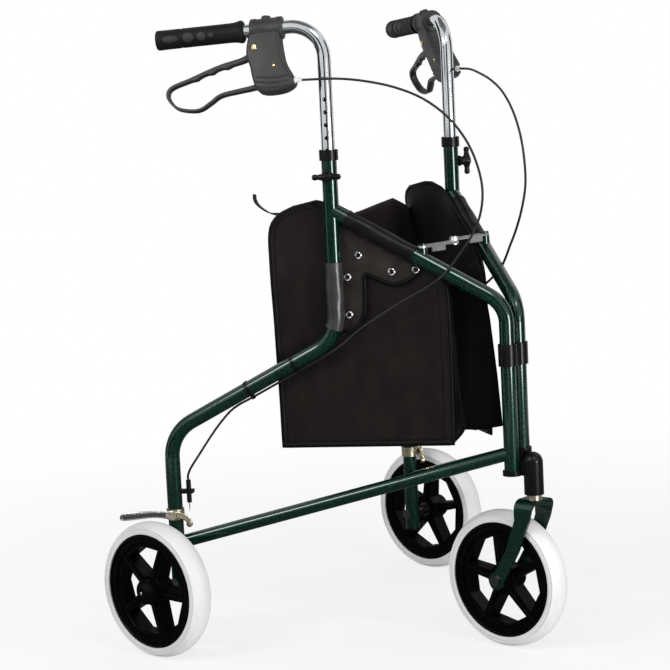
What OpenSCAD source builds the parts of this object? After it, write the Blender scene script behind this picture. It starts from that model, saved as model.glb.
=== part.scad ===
// Three wheel rollator: two hinged side frames, a swivelling front wheel,
// height-adjustable handles with loop brakes, a folding brace and a hung bag.
// +Z is up, the walking direction is -Y, and X = 0 is the plane of symmetry.
// The origin is on the floor, midway between the front and rear axles.

/* [Side frames] */
// Angle of each side frame from the walking direction when open, in degrees
half_angle = 31; // [29:0.5:33]
// Distance between the axes of the two hinge posts
post_spacing = 25; // [24.6:0.1:27]
// Outer diameter of the frame tubes
tube_d = 22; // [21.6:0.1:22.4]
// Outer diameter of the lower stay tube
stay_d = 19; // [16:0.5:21]
// Wall of the lower stay tube
stay_wall = 1.5; // [1:0.1:3]
// Bend radius of the main tube
main_bend_r = 60; // [45:1:70]
// Bend radius of the front tube
front_bend_r = 45; // [32:1:60]
// Distance of the upright behind its hinge post
upright_reach = 243; // [235:1:250]
// Distance of the rear leg behind its hinge post
leg_reach = 497; // [485:1:505]
// Height of the upright's top end
upright_top_z = 711; // [705:1:716]
// Height where the front tube meets the upright
front_joint_z = 640; // [630:1:648]
// Height of the corner between upright and diagonal
knee_z = 457; // [445:1:462]
// Height of the corner between diagonal and rear leg
heel_z = 323; // [315:1:330]
// Height of the rear leg's lower end
leg_bottom_z = 76; // [66:1:84]
// Height of the corner between front tube and hinge post
post_corner_z = 499; // [490:1:510]
// Height of the hinge post's lower end
post_bottom_z = 262; // [259:1:266]
// Height of the stay at the rear leg
stay_leg_z = 159; // [150:1:166]
// Height of the stay at the hinge post
stay_post_z = 287; // [282:1:300]

/* [Wheels] */
// Outer diameter of all tyres
wheel_d = 200; // [190:1:204]
// Width of the tyres
tyre_w = 36; // [30:1:38]
// Radius of the tread's crown
tread_crown_r = 26; // [22:1:40]
// Diameter where the tyre sits on the rim
rim_d = 168; // [160:1:172]
// Distance of a rear wheel's middle plane outboard of its leg
wheel_offset = 46.5; // [42:0.5:56]
// Diameter of the wheel axles
axle_d = 10; // [8:0.5:11]
// Outer diameter of the wheel bearings
bearing_d = 22; // [18:0.5:26]
// Width of the wheel bearings
bearing_w = 8; // [6:0.5:10]

/* [Caster] */
// Distance of the caster's swivel axis ahead of the hinge posts
caster_lead = 28; // [27:0.5:31]
// Distance of the front axle behind the swivel axis
caster_trail = 54; // [50:1:58]
// Height of the fork crown's top face
crown_top_z = 222; // [217:1:223]
// Width between the outer faces of the fork blades
fork_w = 54; // [53:0.5:62]
// Thickness of the fork's strip
fork_t = 4; // [3:0.1:4.2]
// Outer diameter of the caster housing
housing_d = 28; // [27:0.5:29]
// Height of the caster housing's lower end
housing_bottom_z = 228; // [227:0.5:230]
// Height of the caster housing's upper rim
housing_top_z = 275; // [272:1:285]
// Diameter of the caster stem
stem_d = 12; // [10:0.5:14]

/* [Handles] */
// Outer diameter of the chromed handle tube
handle_d = 19; // [18.8:0.1:19.2]
// Wall of the handle tube
handle_wall = 1.5; // [1:0.1:3]
// Height of the handle tube's corner
handle_corner_z = 903; // [895:1:910]
// Height of the handle tube's rear end
handle_end_z = 890; // [884:1:896]
// Distance of the handle tube's rear end behind the upright
handle_reach = 236; // [230:1:245]
// Bend radius of the handle tube
handle_bend_r = 45; // [36:1:50]
// Length of handle tube inside the upright and collar
handle_insert = 126; // [110:1:135]
// Length of the grip
grip_len = 128; // [118:1:132]
// Outer diameter of the grip
grip_d = 28; // [24:0.5:29]

/* [Brakes] */
// Angle by which the brake's lower end leans outboard round the handle, in degrees
brake_roll = 17; // [0:1:25]
// Thickness of the brake housing
brake_w = 26; // [25:1:32]
// Thickness of the lever loop
lever_w = 16; // [12:1:17]
// Thickness of the lever's bar, seen from the side
lever_bar = 7; // [5:0.5:9]
// Diameter of the brake cable's outer sheath
cable_d = 3.5; // [3:0.1:4.6]

/* [Bag] */
// Distance of the bag's front edge behind the hinge post
bag_front = 82; // [76:1:90]
// Length of the bag's side panel
bag_len = 258; // [250:1:265]
// Height of the bag's upper edge
bag_top_z = 655; // [650:1:660]
// Height of the bag's side panel
bag_h = 358; // [350:1:365]
// Thickness of the bag's panels
bag_t = 2.5; // [1.5:0.1:3]

/* [Hidden] */
$fn = 48;

// Colours as the photo shows them
green = "#0d3b2e";
black = "#161616";
vinyl = "#1d1c1e";
chrome = "#c9ccd0";
zinc = "#b9b4a4";
off_white = "#dcdad6";

// Clearances shared by all pieces
run_clear = 0.05;
body_gap = 0.3;
overrun = 1;
bend_lap = 1;
bend_step = 0.1;

// Radii and places worked out from the sizes above
tube_r = tube_d / 2;
handle_r = handle_d / 2;
bore_r = handle_r + run_clear;
post_x = post_spacing / 2;
axle_z = wheel_d / 2;
leg_x = post_x + leg_reach * sin(half_angle);
rear_x = leg_x + wheel_offset;
rear_axle_y = leg_reach * cos(half_angle);
front_axle_y = caster_trail - caster_lead;
origin_y = (rear_axle_y + front_axle_y) / 2;

// Collar at the upright's top and the wing knob below it
collar_h = 15;
collar_wall = 2.5;
collar_r = tube_r + collar_wall;
collar_top_z = upright_top_z + collar_h;
knob_drop = 22;
knob_z = upright_top_z - knob_drop;
knob_screw_r = 3;
knob_boss_r = 7;
knob_boss_h = 5;
knob_neck_h = 5;
knob_span = 42;
knob_wing_h = 8;
knob_wing_t = 9;
knob_lobe_share = 0.75;
hole_r = 3;
hole_pitch = 18;
hole_count = 6;

// Paths of the bent tubes in a side frame, as distance behind the post and height
main_path = [
    [upright_reach, upright_top_z], [upright_reach, knee_z],
    [leg_reach, heel_z], [leg_reach, leg_bottom_z]
];
front_path = [[upright_reach, front_joint_z], [0, post_corner_z], [0, post_bottom_z]];
stay_path = [[leg_reach, stay_leg_z], [0, stay_post_z]];
handle_bottom_z = collar_top_z - handle_insert;
handle_end = [upright_reach + handle_reach, handle_end_z];
handle_path = [[upright_reach, handle_bottom_z], [upright_reach, handle_corner_z], handle_end];
handle_slope = heading(handle_path[1], handle_path[2]);
front_slope = heading(front_path[1], front_path[0]);
knee_slope = heading(main_path[1], main_path[2]);
stay_slope = heading(stay_path[1], stay_path[0]);

// Plug in the rear leg's lower end
plug_h = 11;
plug_flange_h = 3;

// Hinge between the posts
clamp_z = 412;
clamp_h = 31;
clamp_wall = 2.6;
cup_r = post_spacing - tube_r - body_gap;
cup_h = 30;
plate_t = 7;
plate_top_z = post_bottom_z - body_gap;
spigot_h = 40;
web_w = 18;
bush_h = 12;
bush_gap = 10;
bush_r = 11;
stem_nut_h = 6;
stem_nut_r = 9;
race_r = 10.5;

// Fork: height, centre and width at four stations, as shares of its height, trail and crown width
fork_crown_w = 34;
fork_shoulder_r = 15;
fork_station_shares = [[1, 0.01, 1], [0.76, 0.085, 0.74], [0.38, 0.44, 0.65], [0, 0.97, 0.70]];
fork_end_r = 13;
axle_head_h = 4;
axle_head_r = 8.5;

// Wheels
rim_wall = 13;
rim_side = 3;
web_t = 24;
hub_r = 18;
rear_hub_half = 15;
hub_boss = 9;
spoke_count = 5;
window_gap = 4;
window_margin = 7;
window_in_r = hub_r + window_gap;
window_out_r = rim_d / 2 - rim_wall - window_margin;
window_in_angle = 16;
window_out_angle = 31;
front_spoke_turn = 28;
right_spoke_turn = 57.5;
left_spoke_turn = 43;
spacer_r = 8;
nut_h = 5;
hub_cap_h = 3;
hub_cap_len = 8;
hub_cap_shares = [0.85, 0.5];
fork_hub_gap = 1.8;
front_hub_half = fork_w / 2 - fork_t - fork_hub_gap;

// Grip
grip_end_t = 3.4;
grip_flange_h = 2.2;
grip_rib_count = 14;
grip_rib_h = 0.7;

// Brake housing and lever, in shares of the housing's box and of the lever's reach
brake_len = 70;
brake_h = 111;
brake_setback = 40;
brake_drop = 99;
brake_outline_shares = [
    [0.27, 0.80], [0.15, 0.38], [-0.06, 0.15], [-0.02, 0.10], [0.28, 0.01], [0.60, 0.00],
    [0.78, 0.09], [0.87, 0.34], [0.96, 0.53], [0.90, 0.77], [0.90, 0.94], [0.60, 1.00], [0.27, 0.97]
];
brake_clamp_r = 15;
brake_clamp_share = 0.6;
slot_clear = 0.7;
pivot_share = [0.83, 0.59];
pin_r = 3;
lever_hub_r = 8;
lever_len = 129;
lever_drop = 56;
lever_centre_shares = [
    [0.00, 0.00], [0.102, -0.24], [0.338, -0.407], [0.514, -0.548], [0.704, -0.723], [0.900, -0.896],
    [0.953, -1.062], [0.926, -1.252], [0.833, -1.452], [0.680, -1.523], [0.572, -1.498], [0.462, -1.33],
    [0.353, -1.152], [0.159, -1.064], [-0.007, -0.988], [-0.07, -0.98]
];
ferrule_share = [-0.03, 0.15];
ferrule_r = 3.6;
ferrule_len = 12;
ferrule_n = 7;
brake_front = upright_reach + brake_setback;
brake_bottom_z = handle_corner_z - brake_drop;
brake_corner = [brake_front, brake_bottom_z];
brake_size = [brake_len, brake_h];
pivot = from_shares([pivot_share], brake_corner, brake_size)[0];
ferrule_at = from_shares([ferrule_share], brake_corner, brake_size)[0];
lever_points = from_shares(lever_centre_shares, pivot, [lever_len, lever_drop]);

// Brake at the rear leg
band_z = 196;
band_h = 15;
band_wall = 2;
pivot_boss_r = 4;
pivot_boss_len = 6;
shoe_t = 3;
shoe_reach = 80;
shoe_arm = 26;
shoe_h = 13;
shoe_pad_w = 26;
shoe_pad_len = 34;
shoe_pad_tilt = 17;
shoe_kink_share = 0.5;
shoe_rise = 5;
stop_z = 234;
stop_h = 5;
stop_len = 28;
stop_w = 14;
stop_reach = 22;
stop_ferrule_h = 14;
barrel_h = 14;

// Folding brace
brace_reach = 115;
brace_t = 3;
brace_w = 14;
brace_pin_r = 4;
brace_lift = 4.5;
brace_head_r = 6;
brace_head_h = 2.5;
brace_stack = 0.4;
flange_h = 10;
flange_t = 2;
front_top_z = post_corner_z + brace_reach * tan(front_slope) + tube_r / cos(front_slope);
brace_z = front_top_z + brace_lift;
brace_len = post_x + brace_reach * sin(half_angle);
left_lift = brace_t + brace_stack;

// Bag: panel whose front edge follows the front tube, wraps round the tubes, flap and studs
bag_bottom_z = bag_top_z - bag_h;
wrap_in_r = tube_r + body_gap;
wrap_t = 2;
panel_n = wrap_in_r + wrap_t / 2;
panel_corner = 48;
panel_arc_step = 15;
panel_peak_share = 0.65;
panel_front_shares = [0.575, 0.17, 0.05, 0];
panel_front_drops = [-1, 1, 14, 42];
upright_wrap_h = 76;
front_wrap_shares = [0.54, 0.90];
flap_t = 1.5;
flap_len = 124;
flap_h = 180;
flap_shares = [
    [0.952, 0.048], [0.960, 0.928], [0.863, 0.920], [0.750, 0.833], [0.681, 0.684], [0.669, 0.512],
    [0.653, 0.383], [0.544, 0.368], [0.379, 0.352], [0.218, 0.281], [0.097, 0.189], [0.024, 0.099],
    [0.024, 0.004]
];
stud_shares = [[0.726, 0.257], [0.347, 0.245], [0.065, 0.120], [0.863, 0.484], [0.863, 0.784]];
stud_r = 6;
stud_h = 2.5;
stud_rim = 1.5;
gusset_n = panel_n + bag_t + body_gap;
gusset_front_share = 0.57;
gusset_rear_share = 0.85;

// Brake cable's route: a loop given from the brake's ferrule, places along the diagonal, and a tail
// given from the stop's ferrule, each as distance rearward, upward and outboard
cable_loop = [
    [0, 0, 0], [-9, 0, 0], [-26, 0, -1], [-54, -1, -3], [-89, -6, -4], [-129, -18, -2], [-169, -34, 1],
    [-203, -61, 2], [-227, -94, 2], [-241, -130, 1], [-246, -165, -1], [-240, -200, -6], [-225, -230, -10],
    [-209, -252, -13], [-192, -273, -15], [-173, -290, -16], [-147, -305, -20], [-119, -320, -24],
    [-89, -338, -26], [-59, -357, -27], [-33, -378, -28], [-11, -392, -29]
];
cable_run_shares = [0.175, 0.35, 0.518, 0.644];
cable_tail = [[-54, 85], [-36, 62], [-19, 38], [-5, 18], [0, 7], [0, 0]];
cable_sides = 8;
tie_w = 5;
tie_wall = 1.1;
tie_shares = [0.25, 0.52];
tie_cable_clear = 0.4;
tie_web = 0.4;
tie_drop = tube_r + run_clear + tie_web + tie_cable_clear + cable_d / 2;
knee_run = norm(main_path[2] - main_path[1]);
ferrule_tip = rolled([ferrule_n, ferrule_at[0] - ferrule_len - body_gap, ferrule_at[1]]);
cable_start = [ferrule_tip[1], ferrule_tip[2], ferrule_tip[0]];
cable_end = [leg_reach - stop_reach, stop_z + stop_h + stop_ferrule_h];
cable_route = concat(
    [for (p = cable_loop) cable_start + p],
    [for (s = cable_run_shares)
        concat(along(along(main_path[1], knee_slope, knee_run * s), knee_slope - 90, tie_drop), 0)],
    [for (p = cable_tail) concat(cable_end + p, 0)]
);

// Plane geometry of a bent path
function heading(a, b) = atan2(b[1] - a[1], b[0] - a[0]);
function along(p, angle, d) = [p[0] + d * cos(angle), p[1] + d * sin(angle)];
function wrap180(a) = a > 180 ? a - 360 : a < -180 ? a + 360 : a;
function turn_at(p, i) = wrap180(heading(p[i], p[i + 1]) - heading(p[i - 1], p[i]));
function is_end(p, i) = i == 0 || i == len(p) - 1;
function setback(p, i, r) = is_end(p, i) ? 0 : r * tan(abs(turn_at(p, i)) / 2);
// A point of a side frame, given by its distance behind the post and outboard, in plan
function in_plan(u, n) = [
    post_x + u * sin(half_angle) + n * cos(half_angle),
    u * cos(half_angle) - n * sin(half_angle)
];
// Height of the front tube's axis at a distance behind the post
function front_axis_z(u) = post_corner_z + u * tan(front_slope);
// A point of the brake, given outboard, rearward and upward, after its roll about the handle's axis
function rolled(p) = let (
    axis = [0, cos(handle_slope), sin(handle_slope)],
    hub = [0, upright_reach, handle_corner_z],
    lengthwise = axis * (axis * (p - hub)),
    crosswise = p - hub - lengthwise
) hub + lengthwise + crosswise * cos(brake_roll) - cross(axis, crosswise) * sin(brake_roll);
// Points of the flap, given as shares of its length rearward and of its height below the front tube's axis
function below_front(shares) = [for (p = shares) let (u = upright_reach + (p[0] - 1) * flap_len)
    [u, front_axis_z(u) - p[1] * flap_h]];
// Points of an outline given as shares of a box's length and height from its corner
function from_shares(shares, corner, size) = [
    for (s = shares) [corner[0] + s[0] * size[0], corner[1] + s[1] * size[1]]
];

// Round bar, or tube if inner_r is above zero, along a bent path in the XY plane.
// A bend is drawn in by a hair and its ends lap into the straight runs.
module bent_tube(path, bend_r, outer_r, inner_r = 0) {
    last = len(path) - 1;
    lap_angle = bend_lap / bend_r * 180 / PI;
    for (i = [0 : last - 1]) {
        a = heading(path[i], path[i + 1]);
        run = norm(path[i + 1] - path[i]) - setback(path, i, bend_r) - setback(path, i + 1, bend_r);
        translate(concat(along(path[i], a, setback(path, i, bend_r)), 0)) rotate([0, 90, a])
            ring(outer_r, inner_r, run);
    }
    for (i = [1 : 1 : last - 1]) {
        a = heading(path[i - 1], path[i]);
        t = turn_at(path, i);
        side_angle = t > 0 ? 90 : -90;
        tangent = along(path[i], a, -setback(path, i, bend_r));
        translate(concat(along(tangent, a + side_angle, bend_r), 0))
            rotate([0, 0, (t > 0 ? a - 90 : a + 90 + t) - lap_angle])
                rotate_extrude(angle = abs(t) + 2 * lap_angle) translate([bend_r, 0]) difference() {
                    circle(r = outer_r - bend_step);
                    if (inner_r > 0) circle(r = inner_r + bend_step);
                }
    }
}

// Turns the XY plane into a side frame's upright plane
module in_plane() {
    rotate([90, 0, 90]) children();
}

// Places the left half of the object, or its mirror image for the right half
module side(s) {
    if (s > 0) translate([0, -origin_y, 0]) children();
    else mirror([1, 0, 0]) translate([0, -origin_y, 0]) children();
}

// Places a side frame: X is outboard, Y is rearward along the frame
module on_frame(s) {
    side(s) translate([post_x, 0, 0]) rotate([0, 0, -half_angle]) children();
}

// Round bar across a side frame at a distance behind the post and a height
module cross_bar(u, z, start, length, r) {
    translate([start, u, z]) rotate([0, 90, 0]) cylinder(h = length, r = r);
}

// Round bar along X in the half's own plan
module x_bar(y, z, start, length, r) {
    translate([start, y, z]) rotate([0, 90, 0]) cylinder(h = length, r = r);
}

// Places something along the handle's sloping end, measured from its corner
module on_handle() {
    translate([0, upright_reach, handle_corner_z]) rotate([handle_slope, 0, 0]) rotate([-90, 0, 0]) children();
}

// Rolls the brake outboard about the handle's axis
module on_brake() {
    translate([0, upright_reach, handle_corner_z]) rotate([handle_slope, 0, 0]) rotate([0, -brake_roll, 0])
        rotate([-handle_slope, 0, 0]) translate([0, -upright_reach, -handle_corner_z]) children();
}

// Flat plate in a side frame's plane from an outline of distances behind the post and heights
module frame_plate(points, n, t) {
    translate([n, 0, 0]) in_plane() linear_extrude(height = t) polygon(points);
}

module ring(outer_r, inner_r, h) {
    difference() {
        cylinder(h = h, r = outer_r);
        if (inner_r > 0) translate([0, 0, -overrun]) cylinder(h = h + 2 * overrun, r = inner_r);
    }
}

// Round hole along X through the rear leg for the wheel's axle
module axle_hole() {
    translate([0, leg_reach, axle_z]) rotate([0, 0, half_angle]) rotate([0, 90, 0])
        cylinder(h = 2 * tube_d, r = axle_d / 2 + run_clear, center = true);
}

module main_tube() {
    color(green) difference() {
        in_plane() bent_tube(main_path, main_bend_r, tube_r, bore_r);
        axle_hole();
        cross_bar(upright_reach, knob_z, 0, tube_d, knob_screw_r + run_clear);
    }
}

// Front tube with its hinge post, coped to the upright, and the stud that carries the brace
module front_tube(lift) {
    color(green) difference() {
        in_plane() bent_tube(front_path, front_bend_r, tube_r, bore_r);
        translate([0, upright_reach, front_joint_z - tube_d]) cylinder(h = 2 * tube_d, r = tube_r);
    }
    color(zinc) difference() {
        union() {
            translate([0, brace_reach, front_top_z - tube_r])
                cylinder(h = tube_r + brace_lift + lift - body_gap, r = brace_w / 2);
            translate([0, brace_reach, brace_z + lift - body_gap - overrun])
                cylinder(h = brace_t + 2 * body_gap + overrun, r = brace_pin_r);
            translate([0, brace_reach, brace_z + lift + brace_t + body_gap])
                cylinder(h = brace_head_h, r = brace_head_r);
        }
        in_plane() bent_tube(front_path, front_bend_r, bore_r);
    }
}

module stay() {
    color(green) difference() {
        in_plane() bent_tube(stay_path, main_bend_r, stay_d / 2, stay_d / 2 - stay_wall);
        translate([0, leg_reach, stay_leg_z - tube_d]) cylinder(h = 2 * tube_d, r = tube_r);
        translate([0, 0, stay_post_z - tube_d]) cylinder(h = 2 * tube_d, r = tube_r);
    }
}

module collar() {
    color(black) translate([0, upright_reach, upright_top_z]) ring(collar_r, bore_r, collar_h);
}

module leg_plug() {
    color(black) translate([0, leg_reach, leg_bottom_z]) {
        cylinder(h = plug_h, r = bore_r - run_clear);
        translate([0, 0, -plug_flange_h]) cylinder(h = plug_flange_h, r = tube_r);
    }
}

// Rear axle bolt through the leg, its spacer and its nut, in the half's own plan
module rear_axle() {
    head_x = leg_x - tube_r - axle_head_h;
    nut_x = rear_x + rear_hub_half + body_gap;
    spacer_x = leg_x + tube_r;
    color(zinc) {
        x_bar(rear_axle_y, axle_z, head_x, nut_x + nut_h - head_x, axle_d / 2);
        translate([head_x, rear_axle_y, axle_z]) rotate([0, 90, 0])
            cylinder(h = axle_head_h, r = axle_head_r, $fn = 6);
        x_bar(rear_axle_y, axle_z, spacer_x, rear_x - rear_hub_half - body_gap - spacer_x, spacer_r);
        translate([nut_x, rear_axle_y, axle_z]) rotate([0, 90, 0])
            cylinder(h = nut_h, r = axle_head_r, $fn = 6);
    }
}

module brake_band() {
    pivot_z = band_z + band_h / 2;
    band_r = tube_r + run_clear + band_wall;
    color(zinc) {
        translate([0, leg_reach, band_z]) ring(band_r, tube_r + run_clear, band_h);
        cross_bar(leg_reach, pivot_z, band_r - band_wall / 2, pivot_boss_len, pivot_boss_r);
        cross_bar(leg_reach, pivot_z, band_r - band_wall / 2 + pivot_boss_len, brace_head_h, brace_head_r);
    }
}

// Shoe lever on the band's pivot: a plate with a cable arm in front and a pad over the tyre behind
module brake_shoe() {
    pivot_z = band_z + band_h / 2;
    plate_n = tube_r + run_clear + band_wall + body_gap + overrun;
    kink = shoe_reach * shoe_kink_share;
    half_h = shoe_h / 2;
    outline = [
        [leg_reach - shoe_arm, pivot_z - shoe_h], [leg_reach - shoe_arm + half_h, pivot_z - shoe_h],
        [leg_reach, pivot_z - half_h], [leg_reach + kink, pivot_z - half_h + shoe_rise],
        [leg_reach + shoe_reach, pivot_z - half_h], [leg_reach + shoe_reach, pivot_z + shoe_t],
        [leg_reach + kink, pivot_z + half_h], [leg_reach, pivot_z + half_h],
        [leg_reach - shoe_arm, pivot_z - half_h]
    ];
    pad_start = leg_reach + kink;
    color(zinc) difference() {
        union() {
            frame_plate(outline, plate_n, shoe_t);
            translate([plate_n - shoe_pad_w / 2, pad_start, pivot_z - half_h + shoe_rise])
                rotate([-shoe_pad_tilt, 0, 0]) cube([shoe_pad_w, shoe_pad_len, shoe_t]);
        }
        cross_bar(leg_reach, pivot_z, 0, tube_d * 2, pivot_boss_r + run_clear);
    }
}

// Bracket on the leg's front that stops the cable's sheath, with its ferrule and barrel
module cable_stop() {
    stop_u = leg_reach - stop_reach;
    color(black) difference() {
        translate([-stop_w / 2, stop_u - stop_w / 2, stop_z]) cube([stop_w, stop_len, stop_h]);
        translate([0, leg_reach, stop_z - overrun]) cylinder(h = stop_h + 2 * overrun, r = tube_r);
    }
    color(zinc) {
        translate([0, stop_u, stop_z + stop_h]) cylinder(h = stop_ferrule_h, r = ferrule_r);
        translate([0, stop_u, stop_z - barrel_h]) cylinder(h = barrel_h, r = ferrule_r);
    }
}

module tyre() {
    rim_r = rim_d / 2;
    outer_r = wheel_d / 2;
    color(off_white) rotate([0, 90, 0]) rotate_extrude($fn = 96) intersection() {
        translate([rim_r + run_clear, -tyre_w / 2]) square([outer_r - rim_r - run_clear, tyre_w]);
        translate([outer_r - tread_crown_r, 0]) circle(r = tread_crown_r);
    }
}

// Spoked rim round the X axis, with its hub from start to finish and its spokes turned by an angle
module rim(start, finish, turn) {
    rim_r = rim_d / 2;
    half_w = tyre_w / 2 - rim_side;
    color(black) rotate([0, 90, 0]) difference() {
        union() {
            translate([0, 0, -half_w]) ring(rim_r, rim_r - rim_wall, 2 * half_w);
            translate([0, 0, -web_t / 2]) cylinder(h = web_t, r = rim_r - rim_wall / 2);
            translate([0, 0, start]) cylinder(h = finish - start, r = hub_r);
        }
        translate([0, 0, start - overrun]) cylinder(h = finish - start + 2 * overrun, r = bearing_d / 2);
        for (i = [0 : spoke_count - 1]) rotate([0, 0, (i + 0.5) * 360 / spoke_count + turn])
            translate([0, 0, -web_t]) linear_extrude(height = 2 * web_t) polygon([
                along([0, 0], -window_in_angle, window_in_r), along([0, 0], -window_out_angle, window_out_r),
                along([0, 0], 0, window_out_r + rim_side), along([0, 0], window_out_angle, window_out_r),
                along([0, 0], window_in_angle, window_in_r)
            ]);
    }
}

// Two bearings at the ends of a hub
module bearings(start, finish) {
    color(zinc) rotate([0, 90, 0]) for (z = [start, finish - bearing_w])
        translate([0, 0, z]) ring(bearing_d / 2 - run_clear, axle_d / 2 + run_clear, bearing_w);
}

module hub_cap() {
    color(black) rotate([0, 90, 0]) translate([0, 0, rear_hub_half + hub_boss - hub_cap_h]) {
        cylinder(h = hub_cap_h, r = bearing_d / 2 - run_clear);
        translate([0, 0, hub_cap_h])
            cylinder(h = hub_cap_len, r1 = hub_r * hub_cap_shares[0], r2 = hub_r * hub_cap_shares[1]);
    }
}

module rear_wheel_at(s) {
    side(s) translate([rear_x, rear_axle_y, axle_z]) children();
}

module front_wheel_at() {
    translate([0, front_axle_y - origin_y, axle_z]) children();
}

// Front axle bolt with its nut, and the washers between hub and fork
module front_axle() {
    half = fork_w / 2;
    washer_t = half - fork_t - front_hub_half - body_gap;
    color(zinc) front_wheel_at() {
        x_bar(0, 0, -half - axle_head_h, 2 * (half + axle_head_h), axle_d / 2);
        for (x = [-half - axle_head_h, half]) translate([x, 0, 0]) rotate([0, 90, 0])
            cylinder(h = axle_head_h, r = axle_head_r, $fn = 6);
        for (x = [-half + fork_t, half - fork_t - washer_t]) x_bar(0, 0, x, washer_t, spacer_r);
    }
}

// Inverted U of bent strip, cut to its swept side outline
module fork() {
    height = crown_top_z - axle_z;
    centres = [for (s = fork_station_shares) s[1] * caster_trail];
    heights = [for (s = fork_station_shares) axle_z + s[0] * height];
    halves = [for (s = fork_station_shares) s[2] * fork_crown_w / 2];
    last = len(fork_station_shares) - 1;
    outline = concat(
        [[centres[0] - halves[0], heights[0] + overrun]],
        [for (i = [0 : last]) [centres[i] - halves[i], heights[i]]],
        [for (i = [last : -1 : 0]) [centres[i] + halves[i], heights[i]]],
        [[centres[0] + halves[0], heights[0] + overrun]]
    );
    color(green) translate([0, -caster_lead - origin_y, 0]) difference() {
        intersection() {
            fork_arch(fork_w / 2, fork_shoulder_r, crown_top_z);
            translate([-fork_w, 0, 0]) in_plane() linear_extrude(height = 2 * fork_w) union() {
                polygon(outline);
                translate([caster_trail, axle_z]) circle(r = fork_end_r);
            }
        }
        fork_arch(fork_w / 2 - fork_t, fork_shoulder_r - fork_t, crown_top_z - fork_t);
        x_bar(caster_trail, axle_z, -fork_w, 2 * fork_w, axle_d / 2 + run_clear);
    }
}

// Block with round shoulders, from the floor up to a top height
module fork_arch(half, shoulder, top) {
    deep = 2 * fork_crown_w;
    translate([-half, -deep, 0]) cube([2 * half, 2 * deep, top - shoulder]);
    translate([shoulder - half, -deep, 0]) cube([2 * (half - shoulder), 2 * deep, top]);
    for (x = [shoulder - half, half - shoulder]) translate([x, -deep, top - shoulder])
        rotate([-90, 0, 0]) cylinder(h = 2 * deep, r = shoulder);
}

module caster_at() {
    translate([0, -caster_lead - origin_y, 0]) children();
}

// Stem from the crown up through both bushes, with its nut
module caster_stem() {
    nut_z = housing_bottom_z + 2 * bush_h + bush_gap + body_gap;
    color(zinc) caster_at() {
        translate([0, 0, crown_top_z]) cylinder(h = nut_z + stem_nut_h - crown_top_z, r = stem_d / 2);
        translate([0, 0, nut_z]) cylinder(h = stem_nut_h, r = stem_nut_r);
    }
}

module crown_race() {
    color(zinc) caster_at() translate([0, 0, crown_top_z])
        ring(race_r, stem_d / 2 + run_clear, housing_bottom_z - body_gap - crown_top_z);
}

module caster_bushes() {
    color(zinc) caster_at() for (i = [0, 1]) translate([0, 0, housing_bottom_z + i * (bush_h + bush_gap)])
        ring(bush_r - run_clear, stem_d / 2 + run_clear, bush_h);
}

// Casting that joins the caster housing to the posts: a plate under one, and a cup round the other
// that is cut down behind, where the stay swings over it
module head_casting() {
    base_z = plate_top_z - plate_t;
    cut_z = stay_post_z + cup_r * tan(stay_slope) - stay_d / 2 / cos(stay_slope) - body_gap;
    color(black) translate([0, -origin_y, 0]) {
        difference() {
            union() {
                translate([0, -caster_lead, housing_bottom_z])
                    cylinder(h = housing_top_z - housing_bottom_z, r = housing_d / 2);
                translate([-web_w / 2, -caster_lead, base_z]) cube([web_w, caster_lead, housing_top_z - base_z]);
                translate([post_x, 0, base_z]) cylinder(h = plate_t + cup_h, r = cup_r);
                translate([-post_x, 0, base_z]) cylinder(h = plate_t, r = cup_r);
            }
            translate([0, -caster_lead, housing_bottom_z - overrun])
                cylinder(h = housing_top_z - housing_bottom_z + 2 * overrun, r = bush_r);
            translate([post_x, 0, plate_top_z]) cylinder(h = 2 * cup_h, r = tube_r + run_clear);
            translate([-post_x, 0, plate_top_z]) cylinder(h = 2 * cup_h, r = tube_r + body_gap);
            translate([post_x - 2 * cup_r, -overrun, cut_z]) cube([4 * cup_r, 2 * cup_r, 2 * cup_h]);
        }
        for (x = [-post_x, post_x]) translate([x, 0, plate_top_z - overrun])
            cylinder(h = spigot_h + overrun, r = bore_r - run_clear);
    }
}

// Domed cap that closes the caster housing
module head_cap() {
    r = housing_d / 2;
    color(black) caster_at() translate([0, 0, housing_top_z]) {
        intersection() {
            sphere(r = r);
            cylinder(h = r, r = r);
        }
    }
}

// Sleeve round both posts
module hinge_clamp() {
    r = tube_r + run_clear + clamp_wall;
    color(black) translate([0, -origin_y, clamp_z]) difference() {
        union() {
            for (x = [-post_x, post_x]) translate([x, 0, 0]) cylinder(h = clamp_h, r = r);
            translate([-post_x, -tube_r, 0]) cube([post_spacing, tube_d, clamp_h]);
        }
        for (x = [-post_x, post_x]) translate([x, 0, -overrun])
            cylinder(h = clamp_h + 2 * overrun, r = tube_r + run_clear);
    }
}

// Chromed handle tube with its row of adjusting holes
module handle_tube() {
    color(chrome) difference() {
        in_plane() bent_tube(handle_path, handle_bend_r, handle_r, handle_r - handle_wall);
        for (i = [0 : hole_count - 1])
            cross_bar(upright_reach, knob_z + (i + 1) * hole_pitch, 0, handle_d, hole_r);
    }
}

// Rubber grip with a front flange and raised ribs, closed at its end
module grip() {
    tube_len = norm(handle_path[2] - handle_path[1]);
    rib_pitch = (grip_len - 2 * grip_end_t) / grip_rib_count;
    color(black) on_handle() translate([0, 0, tube_len + grip_end_t - grip_len]) difference() {
        union() {
            cylinder(h = grip_len, r = grip_d / 2 - grip_rib_h);
            cylinder(h = grip_end_t, r = grip_d / 2 + grip_flange_h);
            for (i = [0 : grip_rib_count - 1]) translate([0, 0, grip_end_t + (i + 0.5) * rib_pitch])
                cylinder(h = rib_pitch / 2, r = grip_d / 2);
        }
        translate([0, 0, -overrun]) cylinder(h = grip_len - grip_end_t + overrun, r = handle_r + run_clear);
    }
}

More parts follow.
